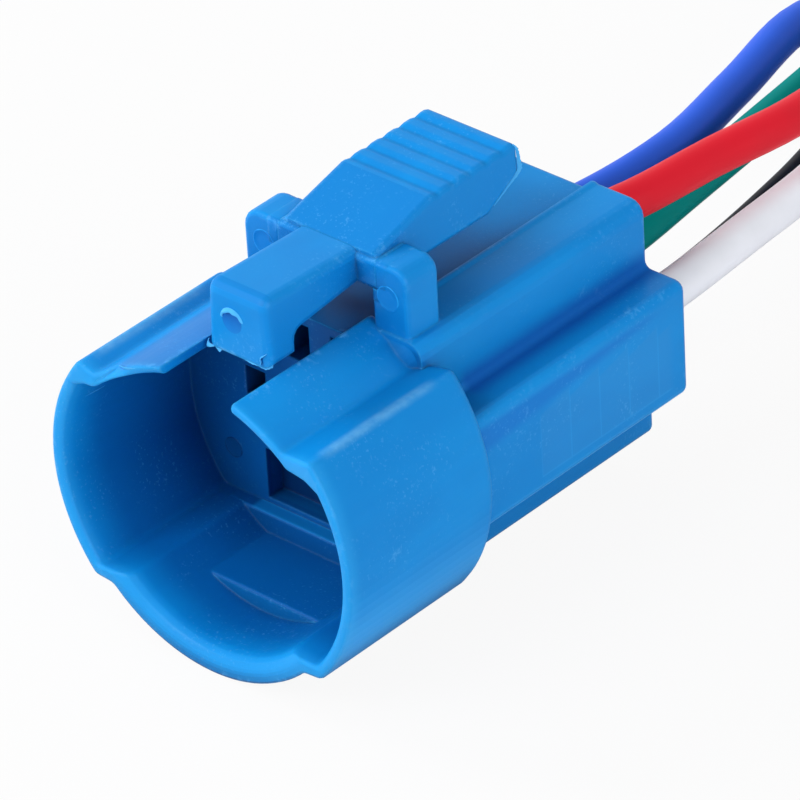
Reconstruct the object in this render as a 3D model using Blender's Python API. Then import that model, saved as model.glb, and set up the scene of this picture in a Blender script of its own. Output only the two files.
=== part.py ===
"""Five-wire plug-on socket for a round push-button switch: a moulded housing with a sprung latch.

The construction frame has its origin on the collar's axis in the plane of the front rim. The switch
enters along +Y, the wires leave towards +Y, and the latch is on top. An empty carries every piece and
sets the assembly down with its lowest line on Z = 0 and the housing's middle at X = Y = 0.
"""

import math

import bmesh
import bpy
from mathutils import Matrix, Vector
from mathutils.geometry import interpolate_bezier

MM = 0.001
DEG = math.pi / 180

# Collar
COLLAR_LENGTH = 12.0 * MM
SOCKET_DEPTH = 10.4 * MM
LOBE_RADIUS = 11.0 * MM
LOBE_WALL = 0.8 * MM
LOBE_TOP_ANGLE = 39.3 * DEG
LOBE_BOTTOM_ANGLE = 40.0 * DEG
LOBE_CORNER = 0.7 * MM
KEEL_STEP = 0.9 * MM
KEEL_WALL = 1.45 * MM
KEEL_DROP = 0.1 * MM
CROWN_RADIUS = 10.95 * MM
CROWN_FLAT = 2.24 * MM
CROWN_SHIFT = -0.55 * MM
CROWN_WALL = 0.55 * MM
CROWN_DROP = 0.47 * MM
CROWN_STEP_WALL = 0.87 * MM
STEP_WALL = 0.75 * MM
STEP_ROUND = 0.3 * MM
LEAD_IN = 0.75 * MM
LEAD_IN_LENGTH = 1.1 * MM
LOBE_LEAD_IN = 0.25 * MM
CROWN_SETBACK = 0.45 * MM
LATCH_SLOT = 5.3 * MM
RIM_ROUND = 0.2 * MM
COLLAR_REAR_ROUND = 0.5 * MM
CROWN_COUNT = 9
LOBE_COUNT = 25
KEEL_COUNT = 15

# Trimmed front of the crown's left strip, from the lobe to the slot: share of its width, depth of the
# outer edge and depth of the inner edge
LEFT_TRIM = (
    (0.0, 0.1 * MM, 0.0 * MM),
    (0.22, 1.0 * MM, 0.1 * MM),
    (0.45, 0.55 * MM, 0.2 * MM),
    (0.62, 0.3 * MM, 0.45 * MM),
    (0.8, 0.35 * MM, 0.7 * MM),
    (1.0, 0.5 * MM, 0.8 * MM),
)

# Raised seats in the bottom of the socket: depth of the front face, height of the flat
FRONT_SEAT = (4.67 * MM, -7.6 * MM)
BACK_SEAT = (9.5 * MM, -6.3 * MM)

# Stepped body behind the collar
HOUSING_LENGTH = 30.2 * MM
TOP_TIER_WIDTH = 13.54 * MM
TOP_TIER_HEIGHT = 8.0 * MM
TOP_TIER_ROUND = 0.95 * MM
WING_WIDTH = 19.0 * MM
WING_HEIGHT = 3.75 * MM
WING_ROUND = 0.6 * MM
BOTTOM_TIER_WIDTH = 13.72 * MM
BOTTOM_TIER_DEPTH = 7.35 * MM
BOTTOM_TIER_ROUND = 0.45 * MM
TIER_FILLET = 0.4 * MM
CHANNEL_WIDTH = 5.0 * MM
CHANNEL_DEPTH = 0.58 * MM
CHANNEL_SLOPE = 0.55 * MM
RIDGE_WIDTH = 0.22 * MM
RIDGE_HEIGHT = 0.09 * MM
BODY_EDGE = 0.25 * MM
TIER_NOSE = 1.1 * MM
TIER_NOSE_ROUND = 0.85 * MM

# Latch posts and lever
POST_FRONT = 11.35 * MM
POST_DEPTH = 2.65 * MM
POST_REACH_RIGHT = 5.8 * MM
POST_REACH_LEFT = 6.15 * MM
POST_TOP = 12.2 * MM
POST_ROUND = 1.3 * MM
WINDOW_SPAN = 6.4 * MM
BAR_HEIGHT = 1.8 * MM
BAR_SPAN = 7.2 * MM
BAR_CLEARANCE = 0.3 * MM
SHOULDER_CLEARANCE = 0.4 * MM
ARM_WIDTH = 4.7 * MM
ARM_DRAFT = 0.055
HOOK_FRONT = 4.05 * MM
HOOK_LENGTH = 2.25 * MM
HOOK_TIP = 8.45 * MM
HOOK_INNER = 9.75 * MM
ARM_TOP_FRONT = 12.75 * MM
ARM_RISE = 0.3 * MM
PAD_WIDTH = 7.0 * MM
PAD_DRAFT = 0.06
PAD_TOP = 13.75 * MM
PAD_BOTTOM = 10.45 * MM
PAD_REAR = 23.6 * MM
PAD_RAMP_END = 16.4 * MM
PAD_LIP = 12.0 * MM
PAD_UNDERCUT = 2.7 * MM
GRIP_PITCH = 1.36 * MM
GRIP_DEPTH = 0.11 * MM
GRIP_COUNT = 5
LEVER_EDGE = 0.28 * MM
HOOK_ROUND = 0.7 * MM
ARM_ROUND = 0.5 * MM

# Contacts, one for each wire
COLUMN_PITCH = 3.8 * MM
COLUMN_MIDDLE = -0.5 * MM
WING_PITCH = 12.0 * MM
WING_AXIS = 0.3 * MM
METAL = 0.3 * MM
RECEPTACLE_WIDTH = 3.0 * MM
RECEPTACLE_HEIGHT = 1.6 * MM
RECEPTACLE_LENGTH = 6.3 * MM
BLADE_SLOT = 0.9 * MM
WING_SLOT_WIDTH = 1.9 * MM
WING_SLOT = 1.5 * MM
WING_SLOT_RISE = 1.2 * MM
NECK_LENGTH = 1.3 * MM
BARREL_LENGTH = 2.2 * MM
SADDLE_LENGTH = 2.0 * MM
CONTACT_CLEARANCE = 0.15 * MM
CONTACT_START = 12.3 * MM
POCKET_WEB = 1.6 * MM
POCKET_WIDTH = 1.7 * MM
POCKET_HEIGHT = 2.5 * MM
POCKET_DEPTH = 5.0 * MM
RECESS_WIDTH = 9.4 * MM
RECESS_DEPTH = 1.2 * MM

# Wires
WIRE_DIAMETER = 2.4 * MM
CORE_DIAMETER = 1.0 * MM
WIRE_LENGTH = 150.0 * MM
STRIP_LENGTH = 6.0 * MM
JOIN_GAP = 0.3 * MM
LANE_GAP = 0.45 * MM
HANK_ENTRY = (-4.9 * MM, 83.5 * MM)
HANK_SPACING = 9.4 * MM
HANK_STRAIGHT = 5.0 * MM
FOLD_RADIUS = 9.8 * MM
TIE_THICKNESS = 0.5 * MM
TIE_WIDTH = 2.2 * MM
TIE_CLEARANCE = 0.3 * MM
LOOP_POINTS = 24

# Routes from the housing to the hank, as (x, y, z) in millimetres, chosen by hand
ROUTES = {
    "blue": [
        (-4.9, 38.0, -0.3),
        (-4.6, 46.0, -0.3),
        (-6.0, 53.5, -0.3),
        (-8.0, 62.5, -0.6),
        (-8.4, 72.0, -3.8),
    ],
    "green": [
        (-0.6, 38.0, -0.5),
        (-1.2, 43.0, -0.5),
        (-1.95, 49.5, -0.5),
        (-3.0, 58.0, -0.5),
        (-5.8, 71.0, -1.5),
    ],
    "red": [
        (1.2, 36.0, 3.3),
        (1.8, 42.0, 3.3),
        (2.6, 48.5, 3.2),
        (1.6, 58.0, 2.4),
        (-1.8, 70.5, -0.4),
    ],
    "black": [
        (1.1, 36.5, -4.3),
        (0.9, 42.5, -4.3),
        (-0.45, 51.5, -4.4),
        (-3.1, 62.0, -5.2),
        (-4.6, 73.0, -7.2),
    ],
    "white": [
        (5.5, 34.5, -0.1),
        (4.85, 41.0, -0.3),
        (4.25, 48.5, -0.3),
        (2.2, 57.0, -0.7),
        (-1.4, 69.0, -3.2),
    ],
}
LANE_ANGLES = {
    "white": -18 * DEG,
    "red": 54 * DEG,
    "green": 126 * DEG,
    "blue": 198 * DEG,
    "black": 270 * DEG,
}

PLASTIC_BLUE = (0.010, 0.190, 0.660)
JACKET_COLOURS = {
    "blue": (0.015, 0.055, 0.480),
    "green": (0.000, 0.180, 0.140),
    "red": (0.620, 0.010, 0.020),
    "black": (0.012, 0.013, 0.018),
    "white": (0.760, 0.770, 0.860),
}
TINNED = (0.62, 0.60, 0.56)
COPPER = (0.60, 0.27, 0.14)
TIE_COLOUR = (0.02, 0.02, 0.02)

# Values worked out from the sizes above
LOBE_BORE = LOBE_RADIUS - LOBE_WALL
KEEL_RADIUS = LOBE_RADIUS - KEEL_STEP
KEEL_BORE = KEEL_RADIUS - KEEL_WALL
CROWN_TOP = LOBE_RADIUS - CROWN_FLAT
CROWN_CENTRE = CROWN_TOP - CROWN_RADIUS
LOBE_TOP = LOBE_RADIUS * math.sin(LOBE_TOP_ANGLE)
LOBE_BOTTOM = -LOBE_RADIUS * math.sin(LOBE_BOTTOM_ANGLE)
KEEL_END_ANGLE = -math.asin((LOBE_BOTTOM - KEEL_DROP) / KEEL_RADIUS)
LOBE_REACH = LOBE_RADIUS * math.cos(LOBE_TOP_ANGLE)
CROWN_END = LOBE_TOP - CROWN_DROP
CROWN_HALF = math.sqrt(CROWN_RADIUS**2 - (CROWN_END - CROWN_CENTRE) ** 2)
LOW_STEP = LOBE_BOTTOM + STEP_WALL
HIGH_STEP = CROWN_END - CROWN_STEP_WALL
LOBE_LAST = CROWN_COUNT + LOBE_COUNT - 1
COLLAR_CORNERS = (CROWN_COUNT - 1, CROWN_COUNT, LOBE_LAST, LOBE_LAST + 1)
HINGE = Vector((0, POST_FRONT + POST_DEPTH / 2, POST_TOP - BAR_HEIGHT / 2))
CHANNEL_FLOOR = TOP_TIER_HEIGHT - CHANNEL_DEPTH
WIRE_RADIUS = WIRE_DIAMETER / 2
SADDLE_BORE = WIRE_RADIUS + CONTACT_CLEARANCE
SADDLE_RADIUS = SADDLE_BORE + METAL
BARREL_BORE = CORE_DIAMETER / 2 + CONTACT_CLEARANCE
BARREL_RADIUS = BARREL_BORE + METAL
NECK_START = CONTACT_START + RECEPTACLE_LENGTH
BARREL_START = NECK_START + NECK_LENGTH
SADDLE_START = BARREL_START + BARREL_LENGTH + NECK_LENGTH / 2
JACKET_START = SADDLE_START
RING_RADIUS = (WIRE_DIAMETER + LANE_GAP) / (2 * math.sin(math.pi / 5))
BUNDLE_RADIUS = RING_RADIUS + WIRE_RADIUS
FLOOR = -KEEL_RADIUS
BUNDLE_HEIGHT = FLOOR + 2 * TIE_CLEARANCE + TIE_THICKNESS + BUNDLE_RADIUS

# Where each contact lies: the wire's axis in X and Z, and the turn of its flat side about Y
CONTACTS = {
    "red": (0, COLUMN_MIDDLE + COLUMN_PITCH, 0),
    "green": (0, COLUMN_MIDDLE, 0),
    "black": (0, COLUMN_MIDDLE - COLUMN_PITCH, 0),
    "blue": (-WING_PITCH / 2, WING_AXIS, -90 * DEG),
    "white": (WING_PITCH / 2, WING_AXIS, 90 * DEG),
}


def material(name, colour, roughness, metallic=0.0):
    made = bpy.data.materials.new(name)
    made.use_nodes = True
    shader = made.node_tree.nodes["Principled BSDF"]
    shader.inputs["Base Color"].default_value = (*colour, 1)
    shader.inputs["Roughness"].default_value = roughness
    shader.inputs["Metallic"].default_value = metallic
    return made


def arc(radius, start, end, count, centre=(0, 0)):
    """Points on an arc, both ends included."""
    steps = [start + (end - start) * i / (count - 1) for i in range(count)]
    return [(centre[0] + radius * math.cos(a), centre[1] + radius * math.sin(a)) for a in steps]


def mirrored(points):
    """The same run of points on the other side of X = 0, in reverse order."""
    return [(-x, z) for x, z in reversed(points)]


def rounded(corners, count=4):
    """An outline whose corners, given as (u, v, radius), are turned into arcs."""
    outline = []
    for i, (u, v, radius) in enumerate(corners):
        here = Vector((u, v))
        back = Vector(corners[i - 1][:2]) - here
        ahead = Vector(corners[(i + 1) % len(corners)][:2]) - here
        if radius <= 0:
            outline.append((u, v))
            continue
        half = back.angle(ahead) / 2
        reach = min(radius / math.tan(half), back.length * 0.49, ahead.length * 0.49)
        first = here + back.normalized() * reach
        last = here + ahead.normalized() * reach
        centre = here + (back.normalized() + ahead.normalized()).normalized() * (reach / math.cos(half))
        turn = (first - centre).angle_signed(last - centre)
        for step in range(count + 1):
            spoke = Matrix.Rotation(-turn * step / count, 2) @ (first - centre)
            outline.append(tuple(centre + spoke))
    return outline


def loft(stations, first_round=0, last_round=0):
    """A closed solid through loops of 3-D points, with flat ends and, where asked, rounded end edges."""
    bm = bmesh.new()
    rings = [[bm.verts.new(p) for p in loop] for loop in stations]
    for ring, following in zip(rings, rings[1:]):
        for i in range(len(ring)):
            j = (i + 1) % len(ring)
            bm.faces.new((ring[i], ring[j], following[j], following[i]))
    ends = [bm.faces.new(list(reversed(rings[0]))), bm.faces.new(rings[-1])]
    bmesh.ops.recalc_face_normals(bm, faces=bm.faces)
    for face, size in zip(ends, (first_round, last_round)):
        if size > 0:
            round_edges(bm, face.edges[:], size)
    return bm


def round_edges(bm, edges, size):
    count = 2 if size < ARM_ROUND else 3
    shape = {"segments": count, "profile": 0.5, "affect": "EDGES", "clamp_overlap": True}
    bmesh.ops.bevel(bm, geom=edges, offset=size, **shape)


def along_y(outline, start, end, first_round=0, last_round=0):
    """An XZ outline carried along Y."""
    return loft([[(x, y, z) for x, z in outline] for y in (start, end)], first_round, last_round)


def along_x(outline, half_width, edge, draft=0, base=0):
    """A YZ outline carried across X, narrowing above the base height by the draft."""
    stations = []
    for side in (-1, 1):
        stations.append([(side * (half_width - max(z - base, 0) * draft), y, z) for y, z in outline])
    return loft(stations, edge, edge)


def box(low, high):
    outline = [(low[0], low[2]), (high[0], low[2]), (high[0], high[2]), (low[0], high[2])]
    return along_y(outline, low[1], high[1])


def solid(name, bm):
    """A mesh object made from a bmesh, with its normals outward."""
    bmesh.ops.recalc_face_normals(bm, faces=bm.faces)
    mesh = bpy.data.meshes.new(name)
    bm.to_mesh(mesh)
    bm.free()
    made = bpy.data.objects.new(name, mesh)
    bpy.context.scene.collection.objects.link(made)
    return made


def combine(target, others, operation):
    """Adds or cuts the other solids, one after the other, and removes them."""
    for other in others:
        modifier = target.modifiers.new(operation.title(), "BOOLEAN")
        modifier.operation = operation
        modifier.object = other
        graph = bpy.context.evaluated_depsgraph_get()
        shape = bpy.data.meshes.new_from_object(target.evaluated_get(graph))
        target.modifiers.clear()
        target.data = shape
        bpy.data.objects.remove(other, do_unlink=True)


def finish(made, parent, finish_material, place=(0, 0, 0), sharp=32 * DEG):
    """Parents a piece to the assembly with its origin at the given place, smooth below the sharp angle."""
    made.data.transform(Matrix.Translation(-Vector(place)))
    made.parent = parent
    made.location = place
    made.data.materials.clear()
    made.data.materials.append(finish_material)
    made.data.shade_smooth()
    made.data.set_sharp_from_angle(angle=sharp)
    return made


def eased(line, corners, reach):
    """An open line with the corners at the given places rounded, each by four points."""
    result = []
    for i, point in enumerate(line):
        if i not in corners:
            result.append(point)
            continue
        here = Vector(point)
        back = Vector(line[i - 1]) - here
        ahead = Vector(line[i + 1]) - here
        first = here + back.normalized() * min(reach, back.length * 0.45)
        last = here + ahead.normalized() * min(reach, ahead.length * 0.45)
        for share in (0, 1 / 3, 2 / 3, 1):
            result.append(tuple(first.lerp(here, share).lerp(here.lerp(last, share), share)))
    return result


def crown(radius, edge, end, count, side):
    """The crown's line on one side, from its distance to the middle at the slot to its lower end's height."""
    shift = side * CROWN_SHIFT
    first = math.acos((edge - shift) / radius)
    last = math.asin((end - CROWN_CENTRE) / radius)
    return arc(radius, first, last, count, (shift, CROWN_CENTRE))


def both_sides(half_line):
    """Joins the right half of a line, made for side 1, to the mirrored half made for side -1."""
    return half_line(1) + mirrored(half_line(-1))[1:]


def collar_outside(inset=0):
    """The collar's outer line in XZ, from the right edge of the latch slot round to its left edge.

    The inset, from 0 to 1, draws it in by a share of half the walls, for the rounded rear edge.
    """
    crown_in = inset * CROWN_WALL / 2
    lobe_in = inset * LOBE_WALL / 2
    keel_in = inset * KEEL_WALL / 2

    def half_line(side):
        half = crown(CROWN_RADIUS - crown_in, LATCH_SLOT / 2, CROWN_END - crown_in, CROWN_COUNT, side)
        half += arc(LOBE_RADIUS - lobe_in, LOBE_TOP_ANGLE, -LOBE_BOTTOM_ANGLE, LOBE_COUNT)
        half += arc(KEEL_RADIUS - keel_in, -KEEL_END_ANGLE, -90 * DEG, KEEL_COUNT)
        return eased(half, COLLAR_CORNERS, STEP_ROUND)

    return both_sides(half_line)


def collar_inside(lobe_bore, keel_bore):
    """The collar's inner line, with as many points as the outer one."""
    corner_angle = math.asin(HIGH_STEP / lobe_bore)
    corner_x = lobe_bore * math.cos(corner_angle)
    lobe_start = corner_angle - 0.6 * LOBE_CORNER / lobe_bore

    def half_line(side):
        half = crown(CROWN_RADIUS - CROWN_WALL, LATCH_SLOT / 2, HIGH_STEP, CROWN_COUNT, side)
        half.append((corner_x - LOBE_CORNER, HIGH_STEP))
        half += arc(lobe_bore, lobe_start, math.asin(LOW_STEP / lobe_bore), LOBE_COUNT - 1)
        half += arc(keel_bore, math.asin(LOW_STEP / keel_bore), -90 * DEG, KEEL_COUNT)
        return eased(half, COLLAR_CORNERS, STEP_ROUND)

    return both_sides(half_line)


def collar_front(x, z, edge):
    """Depth of the front edge: flush on the lobes and keel, set back on the crown, trimmed on its left.

    The edge is 1 for the outer line and 2 for the inner one.
    """
    if z < 0 or abs(x) > LOBE_REACH:
        return 0.0
    reach = CROWN_HALF + math.copysign(1, x) * CROWN_SHIFT
    share = (reach - abs(x)) / (reach - LATCH_SLOT / 2)
    depth = CROWN_SETBACK
    if x < 0:
        depth = LEFT_TRIM[-1][edge]
        for row, following in zip(LEFT_TRIM, LEFT_TRIM[1:]):
            if share <= following[0]:
                part = max(share - row[0], 0) / (following[0] - row[0])
                depth = row[edge] + (following[edge] - row[edge]) * part
                break
    return depth * min((LOBE_REACH - abs(x)) / (LOBE_REACH - reach), 1)


def collar():
    """The open ring round the socket, as strips of four-sided faces."""
    outside = collar_outside()
    inside = collar_inside(LOBE_BORE, KEEL_BORE)
    fronts = [collar_front(x, z, 2) for x, z in inside]
    chains = [
        [(x, collar_front(x, z, 1), z) for x, z in outside],
    ]
    for turn in (0, 30 * DEG, 60 * DEG, 90 * DEG):
        y = COLLAR_LENGTH - COLLAR_REAR_ROUND * (1 - math.sin(turn))
        chains.append([(x, y, z) for x, z in collar_outside(1 - math.cos(turn))])
    chains.append([(x, COLLAR_LENGTH, z) for x, z in inside])
    for depth in (1, 0.6, 0.25, 0):
        grown = 1 - math.sqrt(depth * (2 - depth))
        line = collar_inside(LOBE_BORE + LOBE_LEAD_IN * grown, KEEL_BORE + LEAD_IN * grown)
        lengths = [y + LEAD_IN_LENGTH * depth for y in fronts]
        chains.append([(x, y, z) for (x, z), y in zip(line, lengths)])
    bm = bmesh.new()
    runs = [[bm.verts.new(p) for p in chain] for chain in chains]
    for run, following in zip(runs, runs[1:] + runs[:1]):
        for i in range(len(run) - 1):
            bm.faces.new((run[i], run[i + 1], following[i + 1], following[i]))
    for end in (0, -1):
        bm.faces.new([run[end] for run in runs])
    bmesh.ops.recalc_face_normals(bm, faces=bm.faces)
    rim = [bm.edges.get(pair) for run in (runs[0], runs[-1]) for pair in zip(run, run[1:])]
    round_edges(bm, rim, RIM_ROUND)
    return bm


def socket_floor():
    """The wall that closes the collar, sunk half a wall into it and notched for the latch."""
    sink = min(LOBE_WALL, CROWN_WALL) / 2
    notch = LATCH_SLOT / 2 + sink / 2

    def half_line(side):
        half = [(notch, CHANNEL_FLOOR)]
        half += crown(CROWN_RADIUS - sink, notch, CROWN_END - sink, 8, side)
        half += arc(LOBE_RADIUS - sink, LOBE_TOP_ANGLE - 2 * DEG, -LOBE_BOTTOM_ANGLE + 2 * DEG, 25)
        half += arc(KEEL_RADIUS - sink, -KEEL_END_ANGLE, -90 * DEG, 15)
        return half

    return along_y(both_sides(half_line), SOCKET_DEPTH, COLLAR_LENGTH - sink / 2)


def seat(front, level):
    """A flat raised in the bottom of the socket, with a crescent-shaped front."""
    radius = (KEEL_BORE + KEEL_RADIUS) / 2
    angle = math.asin(level / radius)
    return along_y(arc(radius, angle, -math.pi - angle, 24), front, SOCKET_DEPTH + STEP_WALL, BODY_EDGE / 2)


def body():
    """The stepped block behind the collar, with the channel under the latch."""
    ridge = CHANNEL_WIDTH / 2 + CHANNEL_SLOPE
    crest = TOP_TIER_HEIGHT + RIDGE_HEIGHT
    half = [
        (CHANNEL_WIDTH / 2, CHANNEL_FLOOR, 0),
        (ridge, crest, 0),
        (ridge + RIDGE_WIDTH, crest, 0),
        (ridge + 2 * RIDGE_WIDTH, TOP_TIER_HEIGHT, 0),
        (TOP_TIER_WIDTH / 2, TOP_TIER_HEIGHT, TOP_TIER_ROUND),
        (TOP_TIER_WIDTH / 2, WING_HEIGHT, TIER_FILLET),
        (WING_WIDTH / 2, WING_HEIGHT, WING_ROUND),
        (WING_WIDTH / 2, -WING_HEIGHT, WING_ROUND),
        (BOTTOM_TIER_WIDTH / 2, -WING_HEIGHT, TIER_FILLET),
        (BOTTOM_TIER_WIDTH / 2, -BOTTOM_TIER_DEPTH, BOTTOM_TIER_ROUND),
    ]
    corners = half + [(-x, z, r) for x, z, r in reversed(half)]
    start = (SOCKET_DEPTH + COLLAR_LENGTH) / 2
    return along_y(rounded(corners), start, HOUSING_LENGTH, 0, BODY_EDGE)


def nose(side):
    """The rounded front end of the top tier, beside the latch channel; side is 1 or -1."""
    inner = CHANNEL_WIDTH / 2 + CHANNEL_SLOPE + 2 * RIDGE_WIDTH
    stations = []
    for depth in (0, 0.3, 0.65, 1):
        inset = TIER_NOSE_ROUND * (1 - math.sqrt(depth * (2 - depth)))
        outer = TOP_TIER_WIDTH / 2 - inset
        top = TOP_TIER_HEIGHT - inset
        corners = [
            (inner, WING_HEIGHT, 0),
            (outer, WING_HEIGHT, 0),
            (outer, top, TOP_TIER_ROUND),
            (inner, top, 0),
        ]
        y = COLLAR_LENGTH - TIER_NOSE * (1 - depth)
        stations.append([(side * x, y, z) for x, z in rounded(corners)])
    stations.append([(x, y + TIER_NOSE, z) for x, y, z in stations[-1]])
    return loft(stations)


def post(side):
    """One of the two posts that carry the latch's torsion bar; side is 1 or -1."""
    outer = POST_REACH_RIGHT if side > 0 else POST_REACH_LEFT
    inner = BAR_SPAN / 2 + BAR_CLEARANCE
    shoulder = POST_TOP - BAR_HEIGHT - SHOULDER_CLEARANCE
    foot = CHANNEL_FLOOR - CHANNEL_DEPTH
    corners = [
        (WINDOW_SPAN / 2, foot, 0),
        (outer, foot, 0),
        (outer, POST_TOP, POST_ROUND),
        (inner, POST_TOP, 0),
        (inner, shoulder, 0),
        (WINDOW_SPAN / 2, shoulder, 0),
    ]
    outline = [(side * x, z) for x, z in rounded(corners, 5)]
    return along_y(outline, POST_FRONT, POST_FRONT + POST_DEPTH, BODY_EDGE, BODY_EDGE)


def turned(bm, colour):
    """Moves a solid made about the Y axis to a contact's place."""
    x, z, turn = CONTACTS[colour]
    place = Matrix.Translation((x, 0, z)) @ Matrix.Rotation(turn, 4, "Y")
    bmesh.ops.transform(bm, matrix=place, verts=bm.verts)
    return bm


def cavity(colour):
    """The hole that takes one contact and its wire, open at the rear."""
    half = SADDLE_RADIUS + CONTACT_CLEARANCE
    top = WIRE_RADIUS + CONTACT_CLEARANCE
    start = CONTACT_START - CONTACT_CLEARANCE
    return turned(box((-half, start, -half), (half, HOUSING_LENGTH + BODY_EDGE, top)), colour)


def blade_slot(colour):
    """The slit in the socket floor that lets a switch blade into its contact."""
    turn = CONTACTS[colour][2]
    front = SOCKET_DEPTH - STEP_WALL
    if turn:
        middle = -WING_SLOT_RISE * math.sin(turn)
        half = WING_SLOT_WIDTH / 2
        low = -SADDLE_RADIUS
        high = low + WING_SLOT
    else:
        middle = 0
        half = RECEPTACLE_WIDTH / 2
        low = -SADDLE_RADIUS + METAL
        high = low + BLADE_SLOT
    return turned(box((middle - half, front, low), (middle + half, CONTACT_START, high)), colour)


def housing_cuts():
    """The recess in the socket floor and two cored windows from the channel's front to the red contact."""
    front = SOCKET_DEPTH - STEP_WALL
    middle = CONTACTS["black"][1]
    half = RECESS_WIDTH / 2
    rear = SOCKET_DEPTH + RECESS_DEPTH
    yield box((-half, front, middle - SADDLE_RADIUS), (half, rear, middle + SADDLE_RADIUS))
    top = CHANNEL_FLOOR - 2 * METAL
    for side in (-1, 1):
        near, far = sorted((side * POCKET_WEB / 2, side * (POCKET_WEB / 2 + POCKET_WIDTH)))
        yield box((near, front, top - POCKET_HEIGHT), (far, SOCKET_DEPTH + POCKET_DEPTH, top))


def make_housing(parent, finish_material):
    made = solid("housing", collar())
    added = [socket_floor(), seat(*FRONT_SEAT), seat(*BACK_SEAT), body()]
    for side in (-1, 1):
        added += [nose(side), post(side)]
    combine(made, [solid("addition", bm) for bm in added], "UNION")
    cuts = list(housing_cuts())
    for colour in CONTACTS:
        cuts += [cavity(colour), blade_slot(colour)]
    combine(made, [solid("cut", bm) for bm in cuts], "DIFFERENCE")
    return finish(made, parent, finish_material)


def arm_profile():
    """Side view of the hook and the front arm."""
    rear = POST_FRONT + POST_DEPTH
    bar_bottom = POST_TOP - BAR_HEIGHT
    hook_rear = HOOK_FRONT + HOOK_LENGTH
    return rounded(
        [
            (HOOK_FRONT, HOOK_TIP, 0),
            (hook_rear, HOOK_TIP, 0),
            (hook_rear, HOOK_INNER, ARM_ROUND),
            (POST_FRONT, bar_bottom - ARM_RISE / 2, 0),
            (rear, bar_bottom, 0),
            (rear, POST_TOP, 0),
            (POST_FRONT, ARM_TOP_FRONT - ARM_RISE, 0),
            (HOOK_FRONT, ARM_TOP_FRONT, HOOK_ROUND),
        ],
        3,
    )


def pad_profile():
    """Side view of the thumb pad: a ramp, a ribbed flat and an undercut rear end."""
    front = POST_FRONT + LEVER_EDGE
    rear = POST_FRONT + POST_DEPTH
    corners = [
        (front, POST_TOP - BAR_HEIGHT / 2, 0),
        (rear, POST_TOP - BAR_HEIGHT / 2, 0),
        (rear, PAD_BOTTOM, 0),
        (PAD_REAR - PAD_UNDERCUT, PAD_BOTTOM, 0),
        (PAD_REAR - LEVER_EDGE, PAD_LIP - LEVER_EDGE, 0),
        (PAD_REAR, PAD_LIP, 0),
        (PAD_REAR, PAD_TOP, 2 * LEVER_EDGE),
    ]
    for groove in range(GRIP_COUNT):
        y = PAD_RAMP_END + GRIP_PITCH * (GRIP_COUNT - groove - 0.5)
        corners.append((y + GRIP_PITCH * 0.3, PAD_TOP, 0))
        corners.append((y, PAD_TOP - GRIP_DEPTH, 0))
        corners.append((y - GRIP_PITCH * 0.3, PAD_TOP, 0))
    corners.append((PAD_RAMP_END, PAD_TOP, 0))
    corners.append((front, ARM_TOP_FRONT - ARM_RISE, 0))
    return rounded(corners, 3)


def make_lever(parent, finish_material):
    made = solid("latch_lever", along_x(arm_profile(), ARM_WIDTH / 2, ARM_ROUND, ARM_DRAFT, HOOK_TIP))
    pad = along_x(pad_profile(), PAD_WIDTH / 2, LEVER_EDGE, PAD_DRAFT, PAD_BOTTOM)
    rear = POST_FRONT + POST_DEPTH
    bottom = POST_TOP - BAR_HEIGHT
    bar_outline = rounded(
        [
            (POST_FRONT, bottom, BODY_EDGE),
            (rear, bottom, BODY_EDGE),
            (rear, POST_TOP, BODY_EDGE),
            (POST_FRONT, POST_TOP, BODY_EDGE),
        ],
        2,
    )
    bar = along_x(bar_outline, BAR_SPAN / 2, 0)
    combine(made, [solid("addition", pad), solid("addition", bar)], "UNION")
    return finish(made, parent, finish_material, HINGE)


def rolled_section():
    """Section of the receptacle: a flat floor with both sides rolled over towards the middle."""
    half = RECEPTACLE_WIDTH / 2
    low = -SADDLE_RADIUS
    radius = RECEPTACLE_HEIGHT / 2
    right_centre = (half - radius, low + radius)
    outer = arc(radius, -90 * DEG, 200 * DEG, 12, right_centre)
    inner = arc(radius - METAL, 200 * DEG, -90 * DEG, 12, right_centre)
    right = outer + inner
    return right + mirrored(right)


def ring_sector(bore, radius, start, end):
    return arc(radius, start, end, 18) + arc(bore, end, start, 18)


def make_contact(colour, parent, finish_material):
    """A crimped female blade contact: receptacle, neck, conductor barrel and insulation saddle."""
    made = solid("contact_" + colour, along_y(rolled_section(), CONTACT_START, NECK_START))
    strip = BARREL_RADIUS * 0.9
    low = -SADDLE_RADIUS
    barrel_end = BARREL_START + BARREL_LENGTH
    saddle_end = SADDLE_START + SADDLE_LENGTH
    barrel = ring_sector(BARREL_BORE, BARREL_RADIUS, -267 * DEG, 87 * DEG)
    saddle = ring_sector(SADDLE_BORE, SADDLE_RADIUS, -198 * DEG, 18 * DEG)
    pieces = [
        box((-strip, NECK_START - METAL, low), (strip, saddle_end, low + METAL)),
        along_y(barrel, BARREL_START, barrel_end),
        box((-METAL, BARREL_START, low + METAL / 2), (METAL, barrel_end, -BARREL_BORE - METAL / 2)),
        along_y(saddle, SADDLE_START, saddle_end),
    ]
    combine(made, [solid("addition", bm) for bm in pieces], "UNION")
    x, z, turn = CONTACTS[colour]
    made.data.transform(Matrix.Translation((x, 0, z)) @ Matrix.Rotation(turn, 4, "Y"))
    return finish(made, parent, finish_material)


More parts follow.
